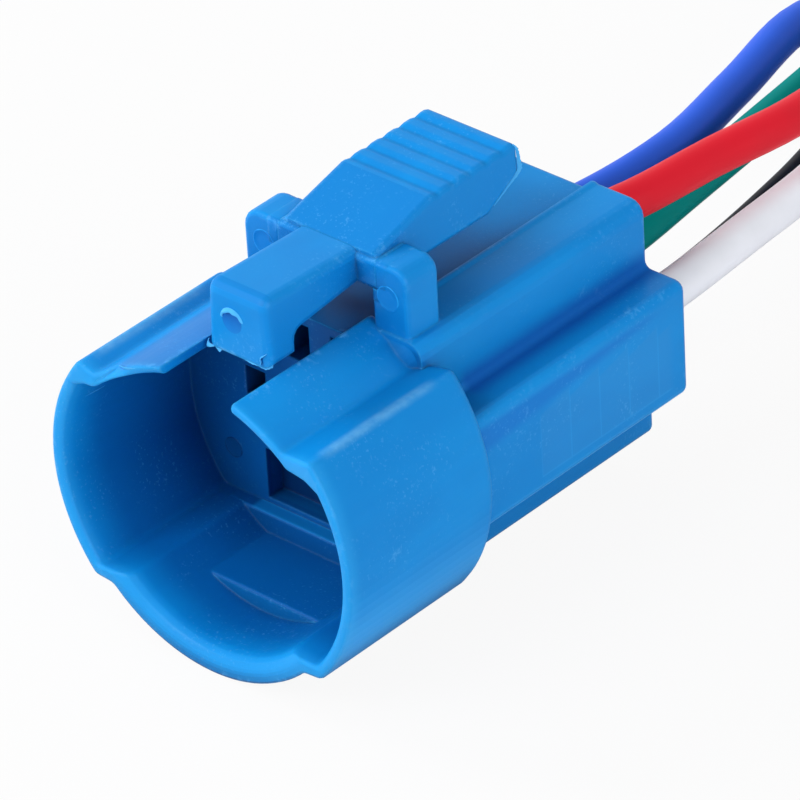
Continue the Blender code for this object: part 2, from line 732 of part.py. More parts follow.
def round_bar(name, start, end, diameter, sides=12):
    """A plain round solid between two points."""
    axis = Vector(end) - Vector(start)
    turn = axis.to_track_quat("Z", "Y").to_matrix().to_4x4()
    ring = arc(diameter / 2, 0, 2 * math.pi, sides + 1)[:-1]
    bm = loft([[(x, y, z) for x, y in ring] for z in (0, axis.length)])
    bmesh.ops.transform(bm, matrix=Matrix.Translation(start) @ turn, verts=bm.verts)
    return solid(name, bm)


def make_core(colour, parent, finish_material):
    """The stripped strands inside the conductor barrel."""
    x, z = CONTACTS[colour][:2]
    start = (x, BARREL_START - CONTACT_CLEARANCE, z)
    end = (x, JACKET_START - CONTACT_CLEARANCE, z)
    return finish(round_bar(colour + "_core", start, end, CORE_DIAMETER), parent, finish_material)


def smooth_through(points, spacing):
    """Evenly spaced points on a smooth curve through the given ones."""
    fine = []
    for i in range(len(points) - 1):
        here, there = points[i], points[i + 1]
        before = points[max(i - 1, 0)]
        after = points[min(i + 2, len(points) - 1)]
        reach = (there - here).length / 3
        out = (there - before).normalized() * reach
        back = (after - here).normalized() * reach
        fine += interpolate_bezier(here, here + out, there - back, there, 24)[:-1]
    return resample(fine + points[-1:], spacing)


def path_length(points):
    return sum((b - a).length for a, b in zip(points, points[1:]))


def resample(points, spacing):
    """The same path with its points spread evenly, both ends kept."""
    total = path_length(points)
    count = max(2, round(total / spacing))
    result = [points[0]]
    travelled = 0.0
    goal = total / count
    for a, b in zip(points, points[1:]):
        step = (b - a).length
        while travelled + step >= goal - 1e-12 and len(result) < count:
            result.append(a.lerp(b, (goal - travelled) / step))
            goal += total / count
        travelled += step
    result.append(points[-1])
    return result


def lane(colour):
    """Place of a wire in the round bundle of five, across and up from the bundle's middle."""
    return RING_RADIUS * math.cos(LANE_ANGLES[colour]), RING_RADIUS * math.sin(LANE_ANGLES[colour])


def lead_path(colour):
    """The free stretch, from the crimp through the housing to the hank."""
    x, z = CONTACTS[colour][:2]
    across, up = lane(colour)
    entry = Vector((HANK_ENTRY[0] + across, HANK_ENTRY[1], BUNDLE_HEIGHT + up))
    route = [Vector(p) * MM for p in ROUTES[colour]]
    straight = Vector((0, WIRE_DIAMETER, 0))
    points = [Vector((x, JACKET_START, z)), Vector((x, HOUSING_LENGTH, z)), *route, entry - straight, entry]
    return smooth_through(points, 2.2 * WIRE_DIAMETER)


def bent(points, heading, angle, radius):
    """Adds an arc to a level path; a positive angle turns to the left. Returns the new heading."""
    steps = max(1, round(abs(angle) / (2 * math.pi / LOOP_POINTS)))
    side = math.copysign(1, angle)
    centre = points[-1] + Vector((-math.sin(heading), math.cos(heading), 0)) * side * radius
    spoke = points[-1] - centre
    for step in range(1, steps + 1):
        points.append(centre + Matrix.Rotation(angle * step / steps, 3, "Z") @ spoke)
    return heading + angle


def hank_path(colour, length):
    """One wire's fold: out, round a drop-shaped loop and back beside itself, straight at both ends."""
    across = lane(colour)[0]
    points = [lead_path(colour)[-1] + Vector((0, JOIN_GAP, 0))]
    points.append(points[0] + Vector((0, HANK_STRAIGHT, 0)))
    flare = math.acos((FOLD_RADIUS + HANK_SPACING / 2) / (2 * FOLD_RADIUS))
    heading = bent(points, math.pi / 2, flare, FOLD_RADIUS + across)
    heading = bent(points, heading, -math.pi - 2 * flare, FOLD_RADIUS - across)
    heading = bent(points, heading, flare, FOLD_RADIUS + across)
    left = length - path_length(points)
    points.append(points[-1] + Vector((math.cos(heading), math.sin(heading), 0)) * left)
    return points


def self_gap(points):
    """Least clear distance between stretches of one wire that lie well apart along it."""
    least = math.inf
    well_apart = 4 * math.pi * WIRE_DIAMETER
    along = [0.0]
    for a, b in zip(points, points[1:]):
        along.append(along[-1] + (b - a).length)
    for i, a in enumerate(points):
        for j in range(i + 1, len(points)):
            if along[j] - along[i] > well_apart:
                least = min(least, (points[j] - a).length - WIRE_DIAMETER)
    return least


def tube(name, points, diameter, detail, parent, finish_material):
    curve = bpy.data.curves.new(name, "CURVE")
    curve.dimensions = "3D"
    curve.bevel_depth = diameter / 2
    curve.bevel_resolution = detail
    curve.use_fill_caps = True
    spline = curve.splines.new("POLY")
    spline.points.add(len(points) - 1)
    for target, point in zip(spline.points, points):
        target.co = (*point, 1)
    spline.use_smooth = True
    curve.materials.append(finish_material)
    made = bpy.data.objects.new(name, curve)
    bpy.context.scene.collection.objects.link(made)
    made.parent = parent
    return made


def make_wire(colour, parent, jacket, tinned):
    """One wire: the free lead, its hank and the stripped, tinned tip."""
    lead = lead_path(colour)
    outside = path_length(lead) - (HOUSING_LENGTH - JACKET_START)
    hank = hank_path(colour, WIRE_LENGTH - STRIP_LENGTH - outside)
    tube(colour + "_wire", lead, WIRE_DIAMETER, 2, parent, jacket)
    tube(colour + "_wire_hank", hank, WIRE_DIAMETER, 1, parent, jacket)
    print(colour, "hank: least gap to itself", round(self_gap(hank) / MM, 2), "mm")
    heading = (hank[-1] - hank[-2]).normalized()
    start = hank[-1] + heading * JOIN_GAP
    tip = round_bar(colour + "_wire_tip", start, start + heading * STRIP_LENGTH, CORE_DIAMETER, 8)
    finish(tip, parent, tinned)


def make_tie(parent, finish_material):
    """A flat band round both legs of the hank, where it starts."""
    reach = BUNDLE_RADIUS + TIE_CLEARANCE
    left = HANK_ENTRY[0] - reach
    right = HANK_ENTRY[0] + HANK_SPACING + reach
    low = BUNDLE_HEIGHT - reach
    high = BUNDLE_HEIGHT + reach
    start = HANK_ENTRY[1] + JOIN_GAP + (HANK_STRAIGHT - TIE_WIDTH) / 2

    def band(grown, first, last):
        corners = ((left - grown, low - grown), (right + grown, low - grown))
        corners += ((right + grown, high + grown), (left - grown, high + grown))
        return along_y(rounded([(x, z, reach * 0.8 + grown) for x, z in corners], 6), first, last)

    made = solid("wire_tie", band(TIE_THICKNESS, start, start + TIE_WIDTH))
    combine(made, [solid("cut", band(0, start - TIE_WIDTH, start + 2 * TIE_WIDTH))], "DIFFERENCE")
    return finish(made, parent, finish_material)


def main():
    for old in list(bpy.data.objects):
        bpy.data.objects.remove(old, do_unlink=True)
    assembly = bpy.data.objects.new("assembly", None)
    bpy.context.scene.collection.objects.link(assembly)
    assembly.location = (0, -HOUSING_LENGTH / 2, KEEL_RADIUS)
    plastic = material("blue moulded plastic", PLASTIC_BLUE, 0.42)
    tinned = material("tinned metal", TINNED, 0.35, 1.0)
    copper = material("copper strands", COPPER, 0.4, 1.0)
    make_housing(assembly, plastic)
    make_lever(assembly, plastic)
    for colour in CONTACTS:
        jacket = material(colour + " wire jacket", JACKET_COLOURS[colour], 0.4)
        make_contact(colour, assembly, tinned)
        make_core(colour, assembly, copper)
        make_wire(colour, assembly, jacket, tinned)
    make_tie(assembly, material("tie", TIE_COLOUR, 0.6))


main()
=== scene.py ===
import math

import bmesh
import bpy
from mathutils import Matrix, Vector
from mathutils.geometry import interpolate_bezier


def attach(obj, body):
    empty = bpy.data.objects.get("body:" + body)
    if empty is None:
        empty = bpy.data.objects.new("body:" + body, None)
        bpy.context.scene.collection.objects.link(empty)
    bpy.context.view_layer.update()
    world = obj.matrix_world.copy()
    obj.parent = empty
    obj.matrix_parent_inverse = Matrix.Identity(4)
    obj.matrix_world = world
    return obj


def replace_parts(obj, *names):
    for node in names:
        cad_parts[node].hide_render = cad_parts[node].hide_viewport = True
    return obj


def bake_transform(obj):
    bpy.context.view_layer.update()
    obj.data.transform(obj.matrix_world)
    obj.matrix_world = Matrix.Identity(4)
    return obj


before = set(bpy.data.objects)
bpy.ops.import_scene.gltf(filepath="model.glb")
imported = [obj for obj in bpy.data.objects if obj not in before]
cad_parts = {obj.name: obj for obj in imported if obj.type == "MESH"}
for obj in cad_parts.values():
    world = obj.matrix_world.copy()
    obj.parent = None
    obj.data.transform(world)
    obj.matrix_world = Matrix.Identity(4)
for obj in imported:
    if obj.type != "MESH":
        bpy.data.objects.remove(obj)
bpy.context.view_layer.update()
print("frame loaded:", len(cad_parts), "nodes")

mm = 0.001
deg = math.pi / 180
fullTurn = 2 * math.pi
scene = bpy.context.scene

# the housing's own axis: x right, y into the socket from its rim, z up, in millimetres
assembly = {"rimY": -15.1, "axisHeight": 10.1}


def place(x, y, z):
    return Vector((x, y + assembly["rimY"], z + assembly["axisHeight"])) * mm


# a socket that can be used in sums, so shader maths reads as plain expressions
class Signal:
    def __init__(self, tree, socket=None):
        self.tree = tree
        self.socket = socket

    def node(self, kind, settings=None, values=None, output=0):
        made = self.tree.nodes.new(kind)
        for key, value in (settings or {}).items():
            setattr(made, key, value)
        for key, value in (values or {}).items():
            if isinstance(value, Signal):
                self.tree.links.new(value.socket, made.inputs[key])
            else:
                made.inputs[key].default_value = value
        return Signal(self.tree, made.outputs[output])

    def math(self, operation, *values):
        return self.node("ShaderNodeMath", {"operation": operation}, dict(enumerate(values)))

    def __add__(self, other):
        return self.math("ADD", self, other)

    def __radd__(self, other):
        return self.math("ADD", other, self)

    def __sub__(self, other):
        return self.math("SUBTRACT", self, other)

    def __rsub__(self, other):
        return self.math("SUBTRACT", other, self)

    def __mul__(self, other):
        return self.math("MULTIPLY", self, other)

    def __rmul__(self, other):
        return self.math("MULTIPLY", other, self)

    def __truediv__(self, other):
        return self.math("DIVIDE", self, other)

    def __rtruediv__(self, other):
        return self.math("DIVIDE", other, self)

    def __abs__(self):
        return self.math("ABSOLUTE", self)


def newLook(name):
    look = bpy.data.materials.new(name)
    look.use_nodes = True
    tree = look.node_tree
    return look, Signal(tree), tree.nodes["Principled BSDF"]


def feed(shader, name, value):
    if isinstance(value, Signal):
        value.tree.links.new(value.socket, shader.inputs[name])
    else:
        shader.inputs[name].default_value = value


def objectPlace(start):
    return start.node("ShaderNodeTexCoord", {}, {}, "Object")


def axes(start, vector, wanted="XYZ"):
    return [start.node("ShaderNodeSeparateXYZ", {}, {"Vector": vector}, axis) for axis in wanted]


# across, depth from the rim and height of a point, in millimetres from the housing's own axis
def housingPlace(start, coords):
    x, y, z = axes(start, coords)
    return x / mm, y / mm - assembly["rimY"], z / mm - assembly["axisHeight"]


def noise(start, coords, scale, detail=2.0, roughness=0.5):
    values = {"Vector": coords, "Scale": scale, "Detail": detail, "Roughness": roughness}
    return start.node("ShaderNodeTexNoise", {}, values)


def stretched(start, coords, scale):
    return start.node("ShaderNodeVectorMath", {"operation": "MULTIPLY"}, {0: coords, 1: scale})


# a number from one or two vectors
def measure(start, operation, *vectors):
    return start.node("ShaderNodeVectorMath", {"operation": operation}, dict(enumerate(vectors)), "Value")


# rises from 0 at begin to 1 at full, in either direction
def remap(start, value, begin, full):
    limits = {"Value": value, "From Min": begin, "From Max": full}
    return start.node("ShaderNodeMapRange", {"interpolation_type": "SMOOTHSTEP"}, limits)


def above(start, value, edge, soft):
    return remap(start, value, edge - soft, edge + soft)


def below(start, value, edge, soft):
    return remap(start, value, edge + soft, edge - soft)


def slab(start, value, low, high, soft=0.1):
    return above(start, value, low, soft) * below(start, value, high, soft)


# near a line that runs along the housing, from its offsets across and up
def nearLine(start, across, rise, reach):
    away = start.node("ShaderNodeCombineXYZ", {}, {"X": across, "Z": rise})
    return remap(start, measure(start, "LENGTH", away), *reach)


def mixColour(start, share, first, second):
    def asColour(value):
        return value if isinstance(value, Signal) else (*value, 1)

    values = {0: share, 6: asColour(first), 7: asColour(second)}
    return start.node("ShaderNodeMix", {"data_type": "RGBA"}, values, 2)


# a row's colour, by its share, over the colour so far
def tint(start, mask, colour, row):
    return mixColour(start, mask * row["share"], colour, row["colour"])


def bump(start, height, distance, strength, under=None):
    values = {"Height": height, "Distance": distance, "Strength": strength}
    if under:
        values["Normal"] = under
    return start.node("ShaderNodeBump", {}, values)


def newPiece(name, bm, look, body, smooth=35):
    bmesh.ops.recalc_face_normals(bm, faces=bm.faces)
    mesh = bpy.data.meshes.new(name)
    bm.to_mesh(mesh)
    bm.free()
    mesh.materials.append(look)
    mesh.shade_smooth()
    mesh.set_sharp_from_angle(angle=smooth * deg)
    made = bpy.data.objects.new(name, mesh)
    scene.collection.objects.link(made)
    if body:
        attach(made, body)
    return made


def skin(bm, rings, closed=False):
    runs = [[bm.verts.new(place(*p)) for p in ring] for ring in rings]
    pairs = list(zip(runs, runs[1:])) + ([(runs[-1], runs[0])] if closed else [])
    for run, following in pairs:
        for i in range(len(run)):
            j = (i + 1) % len(run)
            bm.faces.new((run[i], run[j], following[j], following[i]))
    if not closed:
        bm.faces.new(list(reversed(runs[0])))
        bm.faces.new(runs[-1])


def roundedBox(low, high, radius, steps=4):
    corners = (
        (high[0], high[1], 0),
        (low[0], high[1], 90),
        (low[0], low[1], 180),
        (high[0], low[1], 270),
    )
    outline = []
    for u, v, turn in corners:
        inU = u - radius if u == high[0] else u + radius
        inV = v - radius if v == high[1] else v + radius
        for i in range(steps + 1):
            angle = (turn + 90 * i / steps) * deg
            outline.append((inU + radius * math.cos(angle), inV + radius * math.sin(angle)))
    return outline


def turns(count):
    return [fullTurn * i / count for i in range(count)]


# a point on a ring about a spot, standing proud of a face that looks to the front
def ringPoint(spot, angle, radius, proud):
    x, y, z = spot
    return (x + radius * math.cos(angle), y - proud, z + radius * math.sin(angle))


def ringsOn(spot, profile, sides):
    return [[ringPoint(spot, angle, radius, proud) for angle in turns(sides)] for radius, proud in profile]


# the camera comes first, because the cords are judged from it
view = {
    "position": (240.17, -240.09, 227.76),
    "azimuth": 43.1,
    "elevation": 33.036,
    "roll": -3.253,
    "lens": 338.04,
    "sensor": 36.0,
    "clipStart": 0.01,
}


def makeCamera():
    azimuth, elevation, roll = (view[key] * deg for key in ("azimuth", "elevation", "roll"))
    back = Vector((
        math.sin(azimuth) * math.cos(elevation),
        -math.cos(azimuth) * math.cos(elevation),
        math.sin(elevation),
    ))
    right = Vector((math.cos(azimuth), math.sin(azimuth), 0))
    up = back.cross(right)
    across = right * math.cos(roll) + up * math.sin(roll)
    upright = up * math.cos(roll) - right * math.sin(roll)
    data = bpy.data.cameras.new("photoCamera")
    data.lens = view["lens"]
    data.sensor_width = view["sensor"]
    data.clip_start = view["clipStart"]
    camera = bpy.data.objects.new("photoCamera", data)
    scene.collection.objects.link(camera)
    turn = Matrix((across, upright, back)).transposed().to_4x4()
    camera.matrix_world = Matrix.Translation(place(*view["position"])) @ turn
    scene.camera = camera


makeCamera()
print("camera placed")

# blue nylon of the housing and the latch; a pair says where a mask begins and where it is full
plastic = {
    "base": (0.003, 0.275, 0.730),
    "deep": (0.002, 0.238, 0.668),
    # edge: the pale of worn outer edges with their painted highlight, also the side marks' lines
    "edge": (0.030, 0.400, 0.870),
    "pale": (0.100, 0.430, 0.850),
    # hollow: the painted shade that enclosed places are mixed towards
    "hollow": (0.001, 0.058, 0.215),
    "roughness": 0.40,
    "gloss": 0.17,
    "samples": 6,
    "closeness": 7.0 * mm,  # how far off a wall still casts painted shade on its neighbour
    "open": (0.18, 0.92),
    "flow": {"scale": 190.0, "stretch": (1.0, 0.35, 1.0), "mask": (0.35, 0.65), "rough": 0.12},
    "scales": {"fine": 2600.0, "cloud": 230.0, "dust": 5200.0},
    "speck": {"scale": 1700.0, "detail": 3.0, "roughness": 0.65},
    "dust": {"spots": (0.60, 0.70), "cloud": (0.42, 0.62), "share": 0.30},
    "scuffs": {"spots": (0.60, 0.72), "cloud": (0.50, 0.64), "share": 0.40, "rough": 0.10},
    "wearAndPaintedHighlight": {"radius": 0.25 * mm, "reach": 0.45 * mm, "turn": (0.01, 0.20), "thin": (0.97, 0.72)},
    "wearAndPaintedHighlightShare": {"least": 0.35, "speckled": 0.5},
    "chips": {"thin": (0.95, 0.70), "spots": (0.52, 0.64), "cloud": (0.34, 0.54), "share": 0.55},
    "bump": {"fine": 0.6, "speck": 0.4, "depth": 0.02 * mm, "strength": 0.25},
    "scatter": {"weight": 0.10, "radius": (0.15, 0.6, 1.0), "scale": 0.0005},
}
# inside the socket: painted shade on walls, darker towards the floor, painted light where light comes
# through the rim, a top that counts as open to the painted shade, painted shade in the dark recesses behind
# the floor and painted light on the ledge below them
socketTint = {
    "wall": {"inward": (0.05, -0.25), "depth": (0.4, 3.6), "share": 0.90, "colour": (0.001, 0.135, 0.460)},
    "wallWear": 0.7,  # how much of the pale edge wear and painted highlight is lost there
    "floor": {"facing": (-0.5, -0.9), "depth": (5.5, 8.0), "bore": (10.3, 10.0), "end": (10.9, 10.7)},
    "rim": {"depth": (1.2, 0.1), "share": 0.48, "colour": (0.022, 0.385, 0.865)},
    "sky": {"height": 7.5, "soft": 0.3, "share": 0.8},
    "paintedShadePocket": {
        "depth": (11.3, 12.0), "height": (-6.4, 5.5), "half": (6.2, 6.0), "turn": (-0.5, -0.9),
        "share": 0.90, "colour": (0.0004, 0.022, 0.115),
    },
    "paintedLightLedge": {
        "depth": (9.3, 11.6), "height": (-6.5, -6.1), "half": (5.4, 5.0), "turn": (0.6, 0.9),
        "share": 0.75, "colour": (0.006, 0.265, 0.690),
    },
}
# outside: the lobes' rubbed upper corners, painted shade in the wings' valleys, painted light from the
# floor on what turns down, the top tier's plain nose, painted shade on the left strip of the crown, and the
# solid band above the side's panels
outsideTint = {
    "corner": {
        "x": 8.3, "z": 6.88, "reach": (0.55, 0.1), "depth": (1.5, 10.0), "soft": 0.8,
        "least": 0.1, "speckled": 0.9, "colour": (0.130, 0.440, 0.800),
    },
    "valley": {
        "x": 6.9, "z": 3.85, "reach": (1.5, 0.1), "depth": (13.9, 14.9),
        "share": 0.70, "rough": 0.35, "colour": (0.0008, 0.077, 0.410),
    },
    "under": {
        "begin": (-0.05, -0.50), "end": (-0.95, -0.75),
        "share": 0.75, "colour": (0.045, 0.420, 0.950),
    },
    "nose": {"depth": (10.7, 12.1), "height": (6.4, 8.4), "across": (3.2, 6.6), "wear": 0.65},
    "strip": {
        "x": (-6.8, -2.7), "soft": 0.4, "height": (7.1, 7.4), "depth": (11.0, 10.0), "up": (0.3, 0.6),
        "share": 0.80, "colour": (0.002, 0.180, 0.560),
    },
    "band": {
        "across": (9.2, 9.6), "acrossSoft": 0.05, "front": (12.0, 12.2), "rear": (28.5, 26.5),
        "low": 1.55, "lowAt": 15.0, "climb": 0.1, "lowSoft": 0.4, "top": 2.95, "topSoft": 0.25,
        "share": 0.85, "colour": (0.001, 0.190, 0.640),
    },
}
# compartment walls that show faintly through the side of the wide tier
sideMarks = {
    "first": 17.6,
    "pitch": 2.53,
    "ends": 0.02,
    "fade": (4.6, 4.3),
    "face": (9.3, 9.4),
    "low": -2.75,
    "top": 1.3,
    "rise": 0.7,
    "soft": 0.06,
    "wall": (0.03, 0.012),
    "foot": (0.09, 0.03),
    "panel": {"share": 0.35, "colour": (0.030, 0.270, 0.680)},
    "line": {"share": 0.24, "colour": plastic["edge"]},
}
# the ribbed pad: shade in its grooves and on the ramp before them
grip = {
    "first": 16.4,
    "pitch": 1.36,
    "count": 5,
    "ends": 0.02,
    "height": 13.4,
    "soft": 0.1,
    "groove": (0.42, 0.05),
    "grooveShare": 0.12,
    "grooveRough": 0.25,
    "rampFacing": (-0.08, -0.22),
    "rampUp": (0.5, 0.75),
    "rampShare": 0.85,
    "open": 0.9,
    "colour": (0.002, 0.205, 0.600),
}


def sideMarkMasks(start, spot):
    x, depth, height = spot
    row = sideMarks
    run = (depth - row["first"]) / row["pitch"]
    within = above(start, run, 0.0, row["ends"]) * remap(start, run, *row["fade"])
    within = within * remap(start, x, *row["face"]) * above(start, height, row["low"], row["soft"])
    top = row["top"] + row["rise"] * start.math("FRACT", run)
    panel = within * below(start, height - top, 0.0, 2 * row["soft"])
    wall = remap(start, start.math("PINGPONG", run, 0.5), *row["wall"])
    foot = remap(start, abs(height - row["low"] - row["soft"]), *row["foot"])
    return {"panel": panel, "line": panel * start.math("MAXIMUM", wall, foot)}


def socketMasks(start, spot, normal):
    x, depth, height = spot
    facing = axes(start, normal, "Y")[0]
    spoke = start.node("ShaderNodeCombineXYZ", {}, {"X": x, "Z": height})
    radius = measure(start, "LENGTH", spoke)
    outward = measure(start, "DOT_PRODUCT", spoke, normal) / radius
    wall = remap(start, outward, *socketTint["wall"]["inward"])
    row = socketTint["floor"]
    floor = remap(start, facing, *row["facing"]) * remap(start, depth, *row["depth"])
    floor = floor * remap(start, radius, *row["bore"])
    inside = start.math("MAXIMUM", wall, floor) * remap(start, depth, *row["end"])
    row = socketTint["sky"]
    return {
        "inside": inside,
        "paintedShadeInside": inside * remap(start, depth, *socketTint["wall"]["depth"]),
        "rim": remap(start, depth, *socketTint["rim"]["depth"]),
        "sky": above(start, height, row["height"], row["soft"]),
    }


def recessMasks(start, spot, normal):
    x, depth, height = spot
    facing, up = axes(start, normal, "YZ")
    masks = {}
    for name, turn in (("paintedShadePocket", facing), ("paintedLightLedge", up)):
        row = socketTint[name]
        mask = slab(start, depth, *row["depth"]) * slab(start, height, *row["height"])
        masks[name] = mask * remap(start, turn, *row["turn"]) * remap(start, abs(x), *row["half"])
    return masks


def outsideMasks(start, spot, normal):
    x, depth, height = spot
    across = abs(x)
    up = axes(start, normal, "Z")[0]
    row = outsideTint["corner"]
    corner = nearLine(start, across - row["x"], height - row["z"], row["reach"])
    corner = corner * slab(start, depth, *row["depth"], row["soft"])
    row = outsideTint["valley"]
    valley = nearLine(start, across - row["x"], abs(height) - row["z"], row["reach"])
    valley = valley * remap(start, depth, *row["depth"])
    row = outsideTint["under"]
    under = remap(start, up, *row["begin"]) * remap(start, up, *row["end"])
    row = outsideTint["nose"]
    nose = slab(start, depth, *row["depth"]) * slab(start, height, *row["height"])
    nose = nose * slab(start, across, *row["across"])
    row = outsideTint["strip"]
    strip = slab(start, x, *row["x"], row["soft"]) * remap(start, height, *row["height"])
    strip = strip * remap(start, depth, *row["depth"]) * remap(start, up, *row["up"])
    row = outsideTint["band"]
    low = row["low"] + row["climb"] * (depth - row["lowAt"])
    band = above(start, height - low, 0.0, row["lowSoft"])
    band = band * below(start, height, row["top"], row["topSoft"])
    band = band * slab(start, across, *row["across"], row["acrossSoft"])
    band = band * remap(start, depth, *row["front"]) * remap(start, depth, *row["rear"])
    return {"corner": corner, "valley": valley, "under": under, "nose": nose, "strip": strip, "band": band}


def housingMasks(start, coords, normal):
    spot = housingPlace(start, coords)
    return {
        **sideMarkMasks(start, spot),
        **socketMasks(start, spot, normal),
        **recessMasks(start, spot, normal),
        **outsideMasks(start, spot, normal),
    }


def leverMasks(start, coords, normal):
    depth, height = housingPlace(start, coords)[1:]
    facing, up = axes(start, normal, "YZ")
    run = (depth - grip["first"]) / grip["pitch"]
    ribbed = slab(start, run, 0.0, grip["count"], grip["ends"])
    ribbed = ribbed * above(start, height, grip["height"], grip["soft"])
    grooves = ribbed * remap(start, abs(start.math("FRACT", run) - 0.5), *grip["groove"])
    ramp = remap(start, facing, *grip["rampFacing"]) * remap(start, up, *grip["rampUp"]) * (1 - ribbed)
    return grooves, ribbed, ramp


# noises that both mouldings share
def mouldedGrain(start, coords):
    grain = {name: noise(start, coords, scale) for name, scale in plastic["scales"].items()}
    row = plastic["flow"]
    grain["flow"] = noise(start, stretched(start, coords, row["stretch"]), row["scale"], detail=3.0)
    row = plastic["speck"]
    grain["speck"] = noise(start, coords, row["scale"], row["detail"], row["roughness"])
    return grain


def spotsInPatches(start, spots, cloud, row):
    return remap(start, spots, *row["spots"]) * remap(start, cloud, *row["cloud"])


def pigment(start, grain):
    share = remap(start, grain["flow"], *plastic["flow"]["mask"])
    return mixColour(start, share, plastic["deep"], plastic["base"])


# how open each point is: the less open, the more painted shade it gets
def openToPaintedShade(start):
    settings = {"samples": plastic["samples"]}
    shade = start.node("ShaderNodeAmbientOcclusion", settings, {"Distance": plastic["closeness"]}, "AO")
    return remap(start, shade, *plastic["open"])


# fine pale dust in patches, larger scuffs, and painted shade where walls close in on each other
def dustScuffsAndPaintedShade(start, colour, grain, scuffs, paintedShadeOpenness):
    dust = spotsInPatches(start, grain["dust"], grain["cloud"], plastic["dust"])
    colour = mixColour(start, dust * plastic["dust"]["share"], colour, plastic["pale"])
    colour = mixColour(start, scuffs * plastic["scuffs"]["share"], colour, plastic["pale"])
    return mixColour(start, paintedShadeOpenness, plastic["hollow"], colour)


# outer edges: their softened normal, where they are worn pale with a painted highlight, and where they are
# chipped
def edgeWearAndPaintedHighlight(start, flat, grain):
    row = plastic["wearAndPaintedHighlight"]
    soft = start.node("ShaderNodeBevel", {"samples": plastic["samples"]}, {"Radius": row["radius"]})
    settings = {"samples": plastic["samples"], "inside": True, "only_local": True}
    body = start.node("ShaderNodeAmbientOcclusion", settings, {"Distance": row["reach"]}, "AO")
    turn = 1 - measure(start, "DOT_PRODUCT", soft, flat)
    wearAndPaintedHighlight = remap(start, turn, *row["turn"]) * remap(start, body, *row["thin"])
    row = plastic["chips"]
    chips = remap(start, body, *row["thin"]) * spotsInPatches(start, grain["speck"], grain["cloud"], row)
    return soft, wearAndPaintedHighlight, chips


def paintEdges(start, colour, speck, wearAndPaintedHighlight, chips):
    row = plastic["wearAndPaintedHighlightShare"]
    colour = mixColour(start, wearAndPaintedHighlight * (row["least"] + row["speckled"] * speck), colour, plastic["edge"])
    return mixColour(start, chips * plastic["chips"]["share"], colour, plastic["pale"])


def mouldedRoughness(grain, scuffs):
    flowed = plastic["flow"]["rough"] * (grain["flow"] - 0.5)
    return plastic["roughness"] + flowed + plastic["scuffs"]["rough"] * scuffs


def finishPlastic(start, shader, grain, colour, rough, soft):
    row = plastic["bump"]
    relief = grain["fine"] * row["fine"] + grain["speck"] * row["speck"]
    feed(shader, "Base Color", colour)
    feed(shader, "Roughness", rough)
    feed(shader, "Normal", bump(start, relief, row["depth"], row["strength"], soft))
    feed(shader, "Specular IOR Level", plastic["gloss"])
    feed(shader, "Subsurface Weight", plastic["scatter"]["weight"])
    feed(shader, "Subsurface Radius", plastic["scatter"]["radius"])
    feed(shader, "Subsurface Scale", plastic["scatter"]["scale"])


def paintHousing(start, colour, masks, speck):
    outer = 1 - masks["inside"]
    colour = tint(start, masks["panel"], colour, sideMarks["panel"])
    colour = tint(start, masks["line"], colour, sideMarks["line"])
    colour = tint(start, masks["band"], colour, outsideTint["band"])
    # painted shade on the crown's left strip, and painted light from the floor on faces that turn down
    colour = tint(start, masks["strip"], colour, outsideTint["strip"])
    colour = tint(start, masks["under"] * outer, colour, outsideTint["under"])
    row = outsideTint["corner"]
    rubbed = masks["corner"] * outer * (row["least"] + row["speckled"] * speck)
    colour = mixColour(start, rubbed, colour, row["colour"])
    # painted shade deep inside the socket, and painted light near its rim
    colour = tint(start, masks["paintedShadeInside"], colour, socketTint["wall"])
    return tint(start, masks["rim"], colour, socketTint["rim"])


def housingLook():
    look, start, shader = newLook("housingPlastic")
    coords = objectPlace(start)
    flat = start.node("ShaderNodeNewGeometry", {}, {}, "Normal")
    grain = mouldedGrain(start, coords)
    masks = housingMasks(start, coords, flat)
    outer = 1 - masks["inside"]
    scuffs = spotsInPatches(start, grain["speck"], grain["cloud"], plastic["scuffs"]) * outer
    paintedShadeOpenness = start.math("MAXIMUM", openToPaintedShade(start), masks["sky"] * socketTint["sky"]["share"])
    colour = paintHousing(start, pigment(start, grain), masks, grain["speck"])
    colour = dustScuffsAndPaintedShade(start, colour, grain, scuffs, paintedShadeOpenness)
    # painted shade in the wings' valleys
    colour = tint(start, masks["valley"], colour, outsideTint["valley"])
    # painted light on the ledge that faces up, and painted shade in the recesses behind the floor
    colour = tint(start, masks["paintedLightLedge"], colour, socketTint["paintedLightLedge"])
    colour = tint(start, masks["paintedShadePocket"], colour, socketTint["paintedShadePocket"])
    soft, wearAndPaintedHighlight, chips = edgeWearAndPaintedHighlight(start, flat, grain)
    wearAndPaintedHighlight = wearAndPaintedHighlight * (1 - socketTint["wallWear"] * masks["paintedShadeInside"])
    wearAndPaintedHighlight = wearAndPaintedHighlight * (1 - outsideTint["nose"]["wear"] * masks["nose"])
    colour = paintEdges(start, colour, grain["speck"], wearAndPaintedHighlight, chips * outer)
    rough = mouldedRoughness(grain, scuffs) + outsideTint["valley"]["rough"] * masks["valley"]
    finishPlastic(start, shader, grain, colour, rough, soft)
    return look


